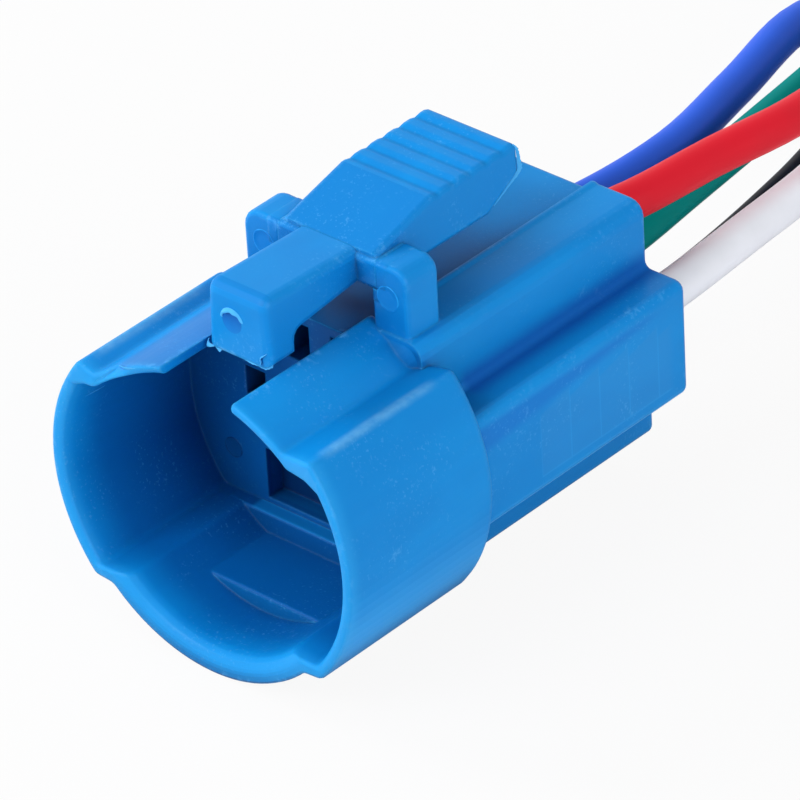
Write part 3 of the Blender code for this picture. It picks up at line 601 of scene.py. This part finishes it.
def leverLook():
    look, start, shader = newLook("leverPlastic")
    coords = objectPlace(start)
    flat = start.node("ShaderNodeNewGeometry", {}, {}, "Normal")
    grain = mouldedGrain(start, coords)
    grooves, ribbed, ramp = leverMasks(start, coords, flat)
    scuffs = spotsInPatches(start, grain["speck"], grain["cloud"], plastic["scuffs"])
    paintedShadeOpenness = start.math("MAXIMUM", openToPaintedShade(start), ribbed * grip["open"])
    shade = start.math("MAXIMUM", grooves * grip["grooveShare"], ramp * grip["rampShare"])
    colour = mixColour(start, shade, pigment(start, grain), grip["colour"])
    colour = dustScuffsAndPaintedShade(start, colour, grain, scuffs, paintedShadeOpenness)
    soft, wearAndPaintedHighlight, chips = edgeWearAndPaintedHighlight(start, flat, grain)
    colour = paintEdges(start, colour, grain["speck"], wearAndPaintedHighlight, chips)
    rough = mouldedRoughness(grain, scuffs) + grip["grooveRough"] * grooves
    finishPlastic(start, shader, grain, colour, rough, soft)
    return look


# finishes of one noise: the nylon where it is torn, and the tie's
grainy = {
    "tornNylon": {
        "dark": (0.040, 0.390, 0.850),
        "pale": (0.110, 0.510, 0.910),
        "scale": 2400.0,
        "noiseRoughness": 0.6,
        "roughness": 0.45,
        "gloss": plastic["gloss"],
    },
    "tieNylon": {
        "dark": (0.012, 0.012, 0.013),
        "pale": (0.030, 0.030, 0.032),
        "scale": 900.0,
        "noiseRoughness": 0.5,
        "roughness": 0.42,
        "gloss": 0.5,
    },
    "uneven": 0.2,
    "depth": 0.03 * mm,
    "strength": 0.3,
}


def grainyLook(name):
    row = grainy[name]
    look, start, shader = newLook(name)
    grain = noise(start, objectPlace(start), row["scale"], 3.0, row["noiseRoughness"])
    feed(shader, "Base Color", mixColour(start, grain, row["dark"], row["pale"]))
    feed(shader, "Roughness", row["roughness"] + grainy["uneven"] * grain)
    feed(shader, "Normal", bump(start, grain, grainy["depth"], grainy["strength"]))
    feed(shader, "Specular IOR Level", row["gloss"])
    return look


jacketPvc = {
    "colours": {
        "blue": (0.030, 0.125, 0.750),
        "green": (0.000, 0.235, 0.215),
        "red": (0.720, 0.012, 0.028),
        "black": (0.016, 0.018, 0.030),
        "white": (0.910, 0.930, 1.000),
    },
    "gloss": {"blue": 0.10, "green": 0.03, "red": 0.15, "black": 0.06, "white": 0.06},
    "fade": 0.94,  # dull streaks: what is left of the colour, and the haze over it
    "haze": 0.003,
    "streak": {"scale": 260.0, "mask": (0.4, 0.75), "rough": 0.14},
    "grainScale": 3200.0,
    "roughness": 0.42,
    "depth": 0.015 * mm,
    "strength": 0.2,
}


def jacketLook(colour):
    look, start, shader = newLook(colour + "Pvc")
    coords = objectPlace(start)
    base = jacketPvc["colours"][colour]
    dull = tuple(channel * jacketPvc["fade"] + jacketPvc["haze"] for channel in base)
    row = jacketPvc["streak"]
    streak = noise(start, coords, row["scale"], detail=3.0)
    grain = noise(start, coords, jacketPvc["grainScale"])
    relief = grain * 0.5 + streak * 0.5
    feed(shader, "Base Color", mixColour(start, remap(start, streak, *row["mask"]), base, dull))
    feed(shader, "Roughness", jacketPvc["roughness"] + row["rough"] * (streak - 0.5))
    feed(shader, "Normal", bump(start, relief, jacketPvc["depth"], jacketPvc["strength"]))
    feed(shader, "Specular IOR Level", jacketPvc["gloss"][colour])
    return look


metal = {
    "tin": (0.66, 0.64, 0.60),
    "stain": (0.46, 0.42, 0.36),
    "copper": (0.72, 0.33, 0.18),
    "patch": {"scale": 420.0, "detail": 4.0, "roughness": 0.6, "mask": (0.4, 0.7), "rough": 0.22},
    "grainScale": 2600.0,
    "roughness": 0.26,
    "depth": 0.01 * mm,
    "strength": 0.2,
}


def metalLook(name, bright):
    look, start, shader = newLook(name)
    coords = objectPlace(start)
    row = metal["patch"]
    patch = noise(start, coords, row["scale"], row["detail"], row["roughness"])
    grain = noise(start, coords, metal["grainScale"])
    feed(shader, "Base Color", mixColour(start, remap(start, patch, *row["mask"]), bright, metal["stain"]))
    feed(shader, "Roughness", metal["roughness"] + row["rough"] * patch)
    feed(shader, "Metallic", 1.0)
    feed(shader, "Normal", bump(start, grain, metal["depth"], metal["strength"]))
    return look


housingPlastic = housingLook()
leverPlastic = leverLook()
tornNylon = grainyLook("tornNylon")
tinned = metalLook("tinnedBrass", metal["tin"])
copper = metalLook("copperStrands", metal["copper"])
tieNylon = grainyLook("tieNylon")
nodeFinish = {"housing": housingPlastic, "latch_lever": leverPlastic, "wire_tie": tieNylon}
for name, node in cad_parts.items():
    finish = nodeFinish.get(name, copper if name.endswith("_core") else tinned)
    node.data.materials.clear()
    node.data.materials.append(finish)
print("finishes made")

# five jacketed wires: out of the housing, into one tied fold, bare at the end
wire = {
    "diameter": 2.4,
    "start": 22.75,  # where the jacket begins, inside the housing
    "rear": 30.2,  # rear face of the housing
    "length": 150.0,  # from the rear face to the end of the stripped tip
    "strip": 6.0,
    "step": 1.3,
    "roundness": 7,
    "lanes": {"white": -18, "red": 54, "green": 126, "blue": 198, "black": 270},
    "laneGap": 0.45,
    "contacts": {
        "red": (0.0, 3.3),
        "green": (0.0, -0.5),
        "black": (0.0, -4.3),
        "blue": (-6.0, 0.3),
        "white": (6.0, 0.3),
    },
    "routes": {
        "blue": [
            (-4.9, 38.0, -0.3), (-4.6, 46.0, -0.3), (-6.0, 53.5, -0.3),
            (-8.0, 62.5, -0.6), (-8.4, 72.0, -3.8),
        ],
        "green": [
            (-0.6, 38.0, -0.5), (-1.2, 43.0, -0.5), (-1.95, 49.5, -0.5),
            (-3.0, 58.0, -0.5), (-5.8, 71.0, -1.5),
        ],
        "red": [
            (1.2, 36.0, 3.3), (1.8, 42.0, 3.3), (2.6, 48.5, 3.2),
            (1.6, 58.0, 2.4), (-1.8, 70.5, -0.4),
        ],
        "black": [
            (1.1, 36.5, -4.3), (0.9, 42.5, -4.3), (-0.45, 51.5, -4.4),
            (-3.1, 62.0, -5.2), (-4.6, 73.0, -7.2),
        ],
        "white": [
            (5.5, 34.5, -0.1), (4.85, 41.0, -0.3), (4.25, 48.5, -0.3),
            (2.2, 57.0, -0.7), (-1.4, 69.0, -3.2),
        ],
    },
}
hank = {
    "x": -4.9, "y": 83.5, "spacing": 9.4, "straight": 5.0, "fold": 9.8, "join": 0.3,
    "turnStep": 6 * deg,
}
tie = {
    "thickness": 0.5,
    "width": 2.2,
    "clearance": 0.3,
    "corner": 0.8,  # its bends, as a share of the room round the bundle
    "cornerSteps": 8,
    "tooth": 0.09,
    "toothStep": 0.45,
    "toothInset": (0.3, 0.38),
    "headX": 2.6,
    "head": (4.2, 3.4, 2.3),
    "headRound": 0.45,
    "headSeat": 0.6,  # where the head begins, as a share of the band's thickness
    "tail": {"out": 1.1, "in": 0.5, "inset": 0.15, "low": 0.8, "top": 1.25, "round": 0.12},
}
laneRing = (wire["diameter"] + wire["laneGap"]) / (2 * math.sin(math.pi / len(wire["lanes"])))
bundleRadius = laneRing + wire["diameter"] / 2
hank["z"] = 2 * tie["clearance"] + tie["thickness"] + bundleRadius - assembly["axisHeight"]


def pathLength(points):
    return sum((b - a).length for a, b in zip(points, points[1:]))


def evenly(points, step):
    total = pathLength(points)
    count = max(2, round(total / step))
    result = [points[0]]
    done = 0.0
    for a, b in zip(points, points[1:]):
        stretch = (b - a).length
        while len(result) < count and done + stretch >= total * len(result) / count:
            result.append(a.lerp(b, (total * len(result) / count - done) / stretch))
        done += stretch
    result.append(points[-1])
    return result


def smoothThrough(points, spanPoints=24):
    fine = []
    for i in range(len(points) - 1):
        here, there = points[i], points[i + 1]
        before = points[max(i - 1, 0)]
        after = points[min(i + 2, len(points) - 1)]
        reach = (there - here).length / 3
        out = (there - before).normalized() * reach
        back = (after - here).normalized() * reach
        fine += interpolate_bezier(here, here + out, there - back, there, spanPoints)[:-1]
    return fine + points[-1:]


def wireLane(colour):
    angle = wire["lanes"][colour] * deg
    return laneRing * math.cos(angle), laneRing * math.sin(angle)


def leadPath(colour):
    x, z = wire["contacts"][colour]
    across, up = wireLane(colour)
    entry = Vector((hank["x"] + across, hank["y"], hank["z"] + up))
    points = [Vector((x, wire["start"], z)), Vector((x, wire["rear"], z))]
    points += [Vector(p) for p in wire["routes"][colour]]
    points += [entry - Vector((0, wire["diameter"], 0)), entry]
    return smoothThrough(points)


# adds an arc to the points and returns the new heading
def turnInto(points, heading, angle, radius):
    steps = max(3, round(abs(angle) / hank["turnStep"]))
    side = math.copysign(1, angle)
    centre = points[-1] + Vector((-math.sin(heading), math.cos(heading), 0)) * side * radius
    spoke = points[-1] - centre
    points += [centre + Matrix.Rotation(angle * i / steps, 3, "Z") @ spoke for i in range(1, steps + 1)]
    return heading + angle


def wirePath(colour):
    lead = leadPath(colour)
    across = wireLane(colour)[0]
    outside = pathLength(lead) - (wire["rear"] - wire["start"])
    wanted = wire["length"] - wire["strip"] - outside
    fold = [lead[-1], lead[-1] + Vector((0, hank["straight"] + hank["join"], 0))]
    flare = math.acos((hank["fold"] + hank["spacing"] / 2) / (2 * hank["fold"]))
    heading = turnInto(fold, 90 * deg, flare, hank["fold"] + across)
    heading = turnInto(fold, heading, -180 * deg - 2 * flare, hank["fold"] - across)
    heading = turnInto(fold, heading, flare, hank["fold"] + across)
    rest = wanted + hank["join"] - pathLength(fold)
    fold.append(fold[-1] + Vector((math.cos(heading), math.sin(heading), 0)) * rest)
    return lead + fold[1:]


# seven tinned strands with a slow twist, as they come from the stripped end
strands = {
    "count": 7, "radius": 0.165, "orbit": 0.33, "twist": 230.0, "sides": 8, "steps": 14,
    "length": 6.6, "uneven": 0.12, "sink": 0.4,
}


def makeTip(colour, path):
    heading = (path[-1] - path[-2]).normalized()
    across = heading.cross(Vector((0, 0, 1)))
    up = across.cross(heading)
    base = path[-1] - heading * strands["sink"]

    def around(angle, radius):
        return (across * math.cos(angle) + up * math.sin(angle)) * radius

    bm = bmesh.new()
    for strand in range(strands["count"]):
        orbit = strands["orbit"] if strand else 0.0  # the first runs down the middle
        length = strands["length"] - strands["uneven"] * (strand % 3)
        rings = []
        for step in range(strands["steps"] + 1):
            share = step / strands["steps"]
            angle = (strand * 360 / (strands["count"] - 1) + strands["twist"] * share) * deg
            middle = base + heading * length * share + around(angle, orbit)
            rings.append([middle + around(turn, strands["radius"]) for turn in turns(strands["sides"])])
        skin(bm, rings)
    made = newPiece(colour + "Strands", bm, tinned, "socket")
    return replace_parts(made, colour + "_wire_tip")


def tieBandRings(low, high, front, rear):
    bend = (bundleRadius + tie["clearance"]) * tie["corner"]
    inner = [Vector((x, 0, z)) for x, z in roundedBox(low, high, bend, tie["cornerSteps"])]
    inner = evenly(inner + inner[:1], tie["toothStep"])[:-1]
    edgeInset, rootInset = tie["toothInset"]
    rings = []
    for i, point in enumerate(inner):
        tangent = (inner[(i + 1) % len(inner)] - inner[i - 1]).normalized()
        out = Vector((0, 1, 0)).cross(tangent)
        root = point + out * (tie["tooth"] if i % 2 else 0)
        edge = point + out * tie["thickness"]
        rings.append([
            (edge.x, front, edge.z),
            (edge.x, rear, edge.z),
            (point.x, rear, point.z),
            (point.x, rear - edgeInset, point.z),
            (root.x, rear - rootInset, root.z),
            (root.x, front + rootInset, root.z),
            (point.x, front + edgeInset, point.z),
            (point.x, front, point.z),
        ])
    return rings


def tieHeadRings(middle, bottom):
    wide, deep, tall = tie["head"]
    rings = []
    # height up the head, and how far its outline is drawn in
    for z, inset in ((0, 0.25), (0.2, 0), (tall - 0.35, 0), (tall - 0.1, 0.15), (tall, 0.4)):
        outline = roundedBox(
            (tie["headX"] - wide / 2 + inset, middle - deep / 2 + inset),
            (tie["headX"] + wide / 2 - inset, middle + deep / 2 - inset),
            tie["headRound"],
        )
        rings.append([(x, y, bottom + z) for x, y in outline])
    return rings


# the cut tail stands out of the head
def tieTailRings(front, rear, bottom):
    row = tie["tail"]
    outline = roundedBox(
        (front + row["inset"], bottom + row["low"]),
        (rear - row["inset"], bottom + row["top"]),
        row["round"],
    )
    side = tie["headX"] - tie["head"][0] / 2
    return [[(x, y, z) for y, z in outline] for x in (side - row["out"], side + row["in"])]


def makeTie():
    reach = bundleRadius + tie["clearance"]
    low = (hank["x"] - reach, hank["z"] - reach)
    high = (hank["x"] + hank["spacing"] + reach, hank["z"] + reach)
    front = hank["y"] + hank["join"] + (hank["straight"] - tie["width"]) / 2
    rear = front + tie["width"]
    bottom = high[1] + tie["thickness"] * tie["headSeat"]
    bm = bmesh.new()
    skin(bm, tieBandRings(low, high, front, rear), True)
    skin(bm, tieHeadRings((front + rear) / 2, bottom))
    skin(bm, tieTailRings(front, rear, bottom))
    made = newPiece("cableTie", bm, tieNylon, "socket")
    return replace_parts(made, "wire_tie")


def makeWire(colour):
    points = evenly(wirePath(colour), wire["step"])
    data = bpy.data.curves.new(colour + "Jacket", "CURVE")
    data.dimensions = "3D"
    data.bevel_depth = wire["diameter"] / 2 * mm
    data.bevel_resolution = wire["roundness"]
    data.use_fill_caps = True
    data.materials.append(jacketLook(colour))
    spline = data.splines.new("POLY")
    spline.points.add(len(points) - 1)
    for target, point in zip(spline.points, points):
        target.co = (*place(*point), 1)
    spline.use_smooth = True
    made = bpy.data.objects.new(colour + "Jacket", data)
    scene.collection.objects.link(made)
    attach(made, "socket")
    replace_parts(made, colour + "_wire", colour + "_wire_hank")
    x, z = wire["contacts"][colour]
    place(x, wire["rear"], z)
    pathLength(points) * mm


bundleTie = makeTie()
for colour in wire["routes"]:
    bareEnd = makeTip(colour, wirePath(colour))
    makeWire(colour)
print("wires laid:", len(wire["routes"]))

# the sprung necks that join the latch's cross bar to its posts; on the real latch they twist when the pad
# is pressed, and here they are built at rest
neck = {
    "front": 11.35,
    "rear": 14.0,
    "low": 10.4,
    "top": 12.2,
    "round": 0.25,
    "proud": 0.012,
    "sink": 0.05,
    "sinkRings": 3,
    "bar": 3.6,
    "post": 3.9,
    "lap": 0.2,
    "reach": 0.6,
    "margin": 0.02,
    "steps": 14,
}
# the thin web under each neck, down to the post's shoulder
web = {
    "inner": 3.22,
    "outer": 4.05,
    "low": 9.7,
    "shoulder": 10.0,
    "margin": 0.05,
    "top": 10.45,
    "proud": 0.006,
    "round": 0.2,
    "steps": 8,
}


def makeNeck(side):
    first, last = neck["bar"] - neck["lap"], neck["post"] + neck["reach"]
    rings = []
    for i in range(neck["steps"] + 1):
        share = i / neck["steps"]
        # both ends sink out of sight
        ends = max(0.0, 1 - min(share, 1 - share) * neck["steps"] / neck["sinkRings"])
        proud = neck["proud"] - neck["sink"] * ends
        outline = roundedBox(
            (neck["front"] - proud, neck["low"] - proud),
            (neck["rear"] + proud, neck["top"] + proud),
            neck["round"],
        )
        x = side * (first + (last - first) * share)
        rings.append([(x, y, z) for y, z in outline])
    bm = bmesh.new()
    skin(bm, rings)
    made = newPiece("latchNeckRight" if side > 0 else "latchNeckLeft", bm, leverPlastic, None)
    middle = ((neck["front"] + neck["rear"]) / 2, (neck["low"] + neck["top"]) / 2)
    start = place(side * (neck["post"] + neck["margin"]), *middle)
    end = place(side * (neck["bar"] - neck["margin"]), *middle)
    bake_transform(made)


def makeWeb(side):
    across = sorted((side * web["inner"], side * web["outer"]))
    front, rear = neck["front"] - web["proud"], neck["rear"] + web["proud"]
    outline = roundedBox((across[0], front), (across[1], rear), web["round"])
    rings = []
    for i in range(web["steps"] + 1):
        z = web["low"] + (web["top"] - web["low"]) * i / web["steps"]
        rings.append([(x, y, z) for x, y in outline])
    bm = bmesh.new()
    skin(bm, rings)
    made = newPiece("latchWebRight" if side > 0 else "latchWebLeft", bm, leverPlastic, None)
    middle = (side * (web["inner"] + web["outer"]) / 2, (neck["front"] + neck["rear"]) / 2)
    start, end = place(*middle, web["shoulder"] - web["margin"]), place(*middle, neck["low"])
    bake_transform(made)


for side in (-1, 1):
    makeNeck(side)
    makeWeb(side)

# the finish that small marks in the plastic share
mark = {"smooth": 60, "uneven": 0.1, "depth": 0.02 * mm, "strength": 0.2}


def finishMark(start, shader, colour, grain, roughness):
    feed(shader, "Base Color", colour)
    feed(shader, "Roughness", roughness + mark["uneven"] * grain)
    feed(shader, "Normal", bump(start, grain, mark["depth"], mark["strength"]))
    feed(shader, "Specular IOR Level", plastic["gloss"])


# torn ring left by the moulding gate on the hook's front, and the hollow in it, a disc with painted shade
gate = {
    "spot": (-0.38, 4.05, 10.58),
    "radius": 0.80,
    "wall": 0.11,
    "root": -0.03,
    "low": -0.06,
    "lip": 0.34,
    "lipAt": 95 * deg,
    "lipFalls": 0.8,
    "ragged": 0.25,
    "fold": 0.12,
    "sides": 48,
    "hollow": ((0.70, 0.004), (0.60, 0.010), (0.35, 0.013)),  # radius, and how far it stands proud
    "hollowSides": 36,
    "hollowBottom": (0.004, 0.205, 0.640),
    "hollowTop": (0.002, 0.120, 0.480),
    "hollowMask": (-0.8, 0.9),
    "hollowUneven": 0.3,
    "hollowGrain": 1800.0,
    "hollowRoughness": 0.45,
}


def gateLip(angle):
    top = max(0.0, math.cos(angle - gate["lipAt"])) ** gate["lipFalls"]
    ragged = 1 - gate["ragged"] + gate["ragged"] * math.sin(5 * angle + 0.6) * math.sin(2.3 * angle)
    return gate["low"] + gate["lip"] * top * ragged


def gateRing(angle):
    lip = gateLip(angle)
    fold = gate["fold"] * lip / gate["lip"]  # the torn lip leans in over the hollow
    outer, inner = gate["radius"] + 0.03, gate["radius"] - gate["wall"]
    profile = (
        (outer + 0.05, gate["root"]),
        (outer, lip * 0.45),
        (outer - 0.04 - fold * 0.5, lip),
        (inner - fold * 0.6, lip * 0.92),
        (inner, lip * 0.4),
        (inner - 0.02, gate["root"]),
    )
    return [ringPoint(gate["spot"], angle, radius, proud) for radius, proud in profile]


def gateHollowLook():
    look, start, shader = newLook("gateHollowPaintedShade")
    coords = objectPlace(start)
    height = (housingPlace(start, coords)[2] - gate["spot"][2]) / gate["radius"]
    grain = noise(start, coords, gate["hollowGrain"])
    # painted shade in the hollow, darker towards the top under the torn lip
    share = remap(start, height + gate["hollowUneven"] * grain, *gate["hollowMask"])
    hollowPaintedShade = mixColour(start, share, gate["hollowBottom"], gate["hollowTop"])
    finishMark(start, shader, hollowPaintedShade, grain, gate["hollowRoughness"])
    return look


def makeGate():
    bm = bmesh.new()
    skin(bm, [gateRing(angle) for angle in turns(gate["sides"])], True)
    newPiece("gateLip", bm, tornNylon, "latch", mark["smooth"])
    bm = bmesh.new()
    skin(bm, ringsOn(gate["spot"], gate["hollow"], gate["hollowSides"]))
    newPiece("gateHollowPaintedShade", bm, gateHollowLook(), "latch", mark["smooth"])


makeGate()

# round witness marks of the ejector pins, on the posts and on the socket's floor
ejector = {
    "marks": {
        "A": {"spot": (4.39, 11.35, 10.19), "radius": 0.75, "on": "post"},
        "B": {"spot": (-4.68, 11.35, 10.42), "radius": 0.75, "on": "post"},
        "C": {"spot": (-7.16, 10.40, -3.59), "radius": 0.62, "on": "floor"},
    },
    "post": {"disc": (0.003, 0.225, 0.640), "line": (0.018, 0.340, 0.800)},
    # painted shade: the mark deep on the socket's floor takes darker copies of the posts' colours
    "floor": {"disc": (0.001, 0.082, 0.280), "line": (0.001, 0.055, 0.200)},
    "rim": 0.05,
    "proud": 0.022,
    "sides": 48,
    "line": (0.07, 0.03),
    "broken": (0.35, 0.65),
    "grain": 2200.0,
}


def ejectorLook(name, row):
    look, start, shader = newLook(name)
    coords = objectPlace(start)
    grain = noise(start, coords, ejector["grain"])
    away = measure(start, "DISTANCE", coords, place(*row["spot"])) / mm
    line = remap(start, abs(away - row["radius"]), *ejector["line"])
    line = line * remap(start, grain, *ejector["broken"])
    shades = ejector[row["on"]]
    colour = mixColour(start, line, shades["disc"], shades["line"])
    finishMark(start, shader, colour, grain, plastic["roughness"])
    return look


def makeEjectorMark(letter):
    row = ejector["marks"][letter]
    outer, inner = row["radius"] + ejector["rim"], row["radius"] - ejector["rim"]
    profile = (
        (outer, -0.01),
        (outer - ejector["rim"] * 0.5, ejector["proud"]),
        (inner + ejector["rim"] * 0.5, ejector["proud"]),
        (inner, 0.008),
        (inner * 0.5, 0.010),
    )
    bm = bmesh.new()
    skin(bm, ringsOn(row["spot"], profile, ejector["sides"]))
    name = "ejectorMark" + letter
    newPiece(name, bm, ejectorLook(name, row), "socket", mark["smooth"])


for letter in ejector["marks"]:
    makeEjectorMark(letter)

# thin moulding flash: a spine on the edge it grew from, how far it stands out at each point, and which way
flash = {
    "hookCorner": {
        "body": "latch",
        "spine": [(-2.30, 4.12, 8.75), (-2.33, 4.10, 8.55), (-2.20, 4.07, 8.46), (-1.85, 4.07, 8.46)],
        "reach": [0.05, 0.22, 0.20, 0.04],
        "out": (-0.35, -0.25, -0.9),
    },
    "hookTear": {
        "body": "latch",
        "spine": [(-1.75, 4.08, 8.46), (-1.62, 4.08, 8.46), (-1.48, 4.08, 8.46), (-1.30, 4.08, 8.46)],
        "reach": [0.03, 0.16, 0.24, 0.04],
        "out": (0.1, -0.1, -1.0),
    },
    "hookWhisker": {
        "body": "latch",
        "spine": [
            (1.55, 4.06, 8.62), (1.62, 4.06, 8.80), (1.58, 4.06, 9.02),
            (1.75, 4.08, 9.20), (1.98, 4.16, 9.40),
        ],
        "reach": [0.22, 0.24, 0.16, 0.16, 0.05],
        "out": (0.5, -0.8, 0.1),
    },
    "hookHem": {
        "body": "latch",
        "spine": [
            (0.4, 4.07, 8.46), (0.9, 4.07, 8.46), (1.4, 4.08, 8.46),
            (1.9, 4.15, 8.48), (2.2, 4.35, 8.60),
        ],
        "reach": [0.02, 0.07, 0.04, 0.12, 0.10],
        "out": (0.1, -0.4, -0.9),
    },
    "padEdge": {
        "body": "latch",
        "spine": [
            (3.20, 23.42, 13.70), (3.27, 23.54, 13.45), (3.31, 23.58, 13.05),
            (3.35, 23.58, 12.6), (3.38, 23.58, 12.15), (3.39, 23.3, 11.86),
            (3.39, 22.8, 11.58), (3.40, 22.2, 11.25), (3.40, 21.4, 10.80),
        ],
        "reach": [0.01, 0.10, 0.13, 0.16, 0.18, 0.14, 0.10, 0.07, 0.01],
        "out": (0.75, 0.65, 0.0),
    },
    "strip": {
        "body": "socket",
        "spine": [
            (-6.20, 0.98, 7.12), (-5.60, 0.64, 7.40), (-5.07, 0.42, 7.60),
            (-4.60, 0.42, 7.78), (-4.10, 0.48, 7.96),
        ],
        "reach": [0.02, 0.15, 0.22, 0.13, 0.02],
        "out": (-0.3, -0.6, 0.75),
    },
    "wallScratch": {
        "body": "socket",
        "spine": [(-9.60, 1.55, 3.46), (-9.63, 2.40, 3.38), (-9.66, 3.25, 3.30)],
        "reach": [0.01, 0.03, 0.01],
        "out": (0.94, 0.0, -0.33),
    },
}
flashEdge = {"thickness": 0.035, "tip": 0.4, "root": 0.06, "ragged": 0.25, "keepEvery": 4}


# a value between those of a list, from 0 at its first to 1 at its last
def between(values, share):
    along = share * (len(values) - 1)
    first = min(int(along), len(values) - 2)
    return values[first] + (values[first + 1] - values[first]) * (along - first)


def makeFlash(name):
    row = flash[name]
    spine = smoothThrough([Vector(p) for p in row["spine"]])[::flashEdge["keepEvery"]]
    out = Vector(row["out"]).normalized()
    rings = []
    for i, point in enumerate(spine):
        reach = between(row["reach"], i / (len(spine) - 1))
        reach *= 1 + flashEdge["ragged"] * math.sin(7.3 * i) * math.sin(2.9 * i)
        tangent = spine[min(i + 1, len(spine) - 1)] - spine[max(i - 1, 0)]
        side = tangent.cross(out).normalized() * flashEdge["thickness"]
        thin = side * flashEdge["tip"]
        tip = point + out * reach
        root = point - out * flashEdge["root"]
        rings.append([root - side, tip - thin, tip + thin, root + side])
    bm = bmesh.new()
    skin(bm, rings)
    newPiece(name + "Flash", bm, tornNylon, row["body"], mark["smooth"])


for name in flash:
    makeFlash(name)
print("moulding marks made")

studio = {
    "floorColour": (0.70, 0.70, 0.71),
    "floorRoughness": 0.9,
    "floorSize": 1.4,
    "worldLevel": 0.28,
    "shadow": 0.08,
}


def makeFloor():
    bm = bmesh.new()
    bmesh.ops.create_grid(bm, x_segments=1, y_segments=1, size=studio["floorSize"])
    mesh = bpy.data.meshes.new("studioFloor")
    bm.to_mesh(mesh)
    bm.free()
    made = bpy.data.objects.new("studioFloor", mesh)
    scene.collection.objects.link(made)
    look, start, shader = newLook("studioFloor")
    feed(shader, "Base Color", (*studio["floorColour"], 1))
    feed(shader, "Roughness", studio["floorRoughness"])
    seen = start.node("ShaderNodeLightPath", {}, {}, "Is Camera Ray")
    glow = start.node("ShaderNodeEmission", {}, {"Color": (1, 1, 1, 1), "Strength": 1.0})
    plain = Signal(look.node_tree, shader.outputs[0])
    blend = start.node("ShaderNodeMixShader", {}, {0: seen * (1 - studio["shadow"]), 1: plain, 2: glow})
    look.node_tree.links.new(blend.socket, look.node_tree.nodes["Material Output"].inputs["Surface"])
    mesh.materials.append(look)


def makeWorld():
    world = bpy.data.worlds.new("studioWorld")
    scene.world = world
    world.use_nodes = True
    tree = world.node_tree
    start = Signal(tree)
    seen, glossy, through = (
        start.node("ShaderNodeLightPath", {}, {}, output)
        for output in ("Is Camera Ray", "Is Glossy Ray", "Is Transmission Ray")
    )
    white = start.math("MAXIMUM", seen, start.math("MAXIMUM", glossy, through))
    strength = studio["worldLevel"] + (1 - studio["worldLevel"]) * white
    background = tree.nodes["Background"]
    background.inputs["Color"].default_value = (1, 1, 1, 1)
    tree.links.new(strength.socket, background.inputs["Strength"])


lamps = {
    "keyLamp": {"spot": (-153, -460, 390), "aim": (0, 12, 2), "size": 380, "power": 2.55, "mirrored": True},
    "sideLamp": {"spot": (456, -68, 187), "aim": (0, 12, 0), "size": 320, "power": 1.3, "mirrored": True},
    "leftLamp": {"spot": (-457, -28, 244), "aim": (0, 12, 0), "size": 320, "power": 2.0, "mirrored": False},
}


def makeLamp(name):
    row = lamps[name]
    data = bpy.data.lights.new(name, "AREA")
    data.size = row["size"] * mm
    data.energy = row["power"]
    made = bpy.data.objects.new(name, data)
    scene.collection.objects.link(made)
    spot, aim = place(*row["spot"]), place(*row["aim"])
    turn = (aim - spot).to_track_quat("-Z", "Y").to_matrix().to_4x4()
    made.matrix_world = Matrix.Translation(spot) @ turn
    made.visible_glossy = row["mirrored"]


makeFloor()
makeWorld()
for name in lamps:
    makeLamp(name)
scene.view_settings.view_transform = "Standard"
print("stage and light set")

bpy.context.view_layer.update()
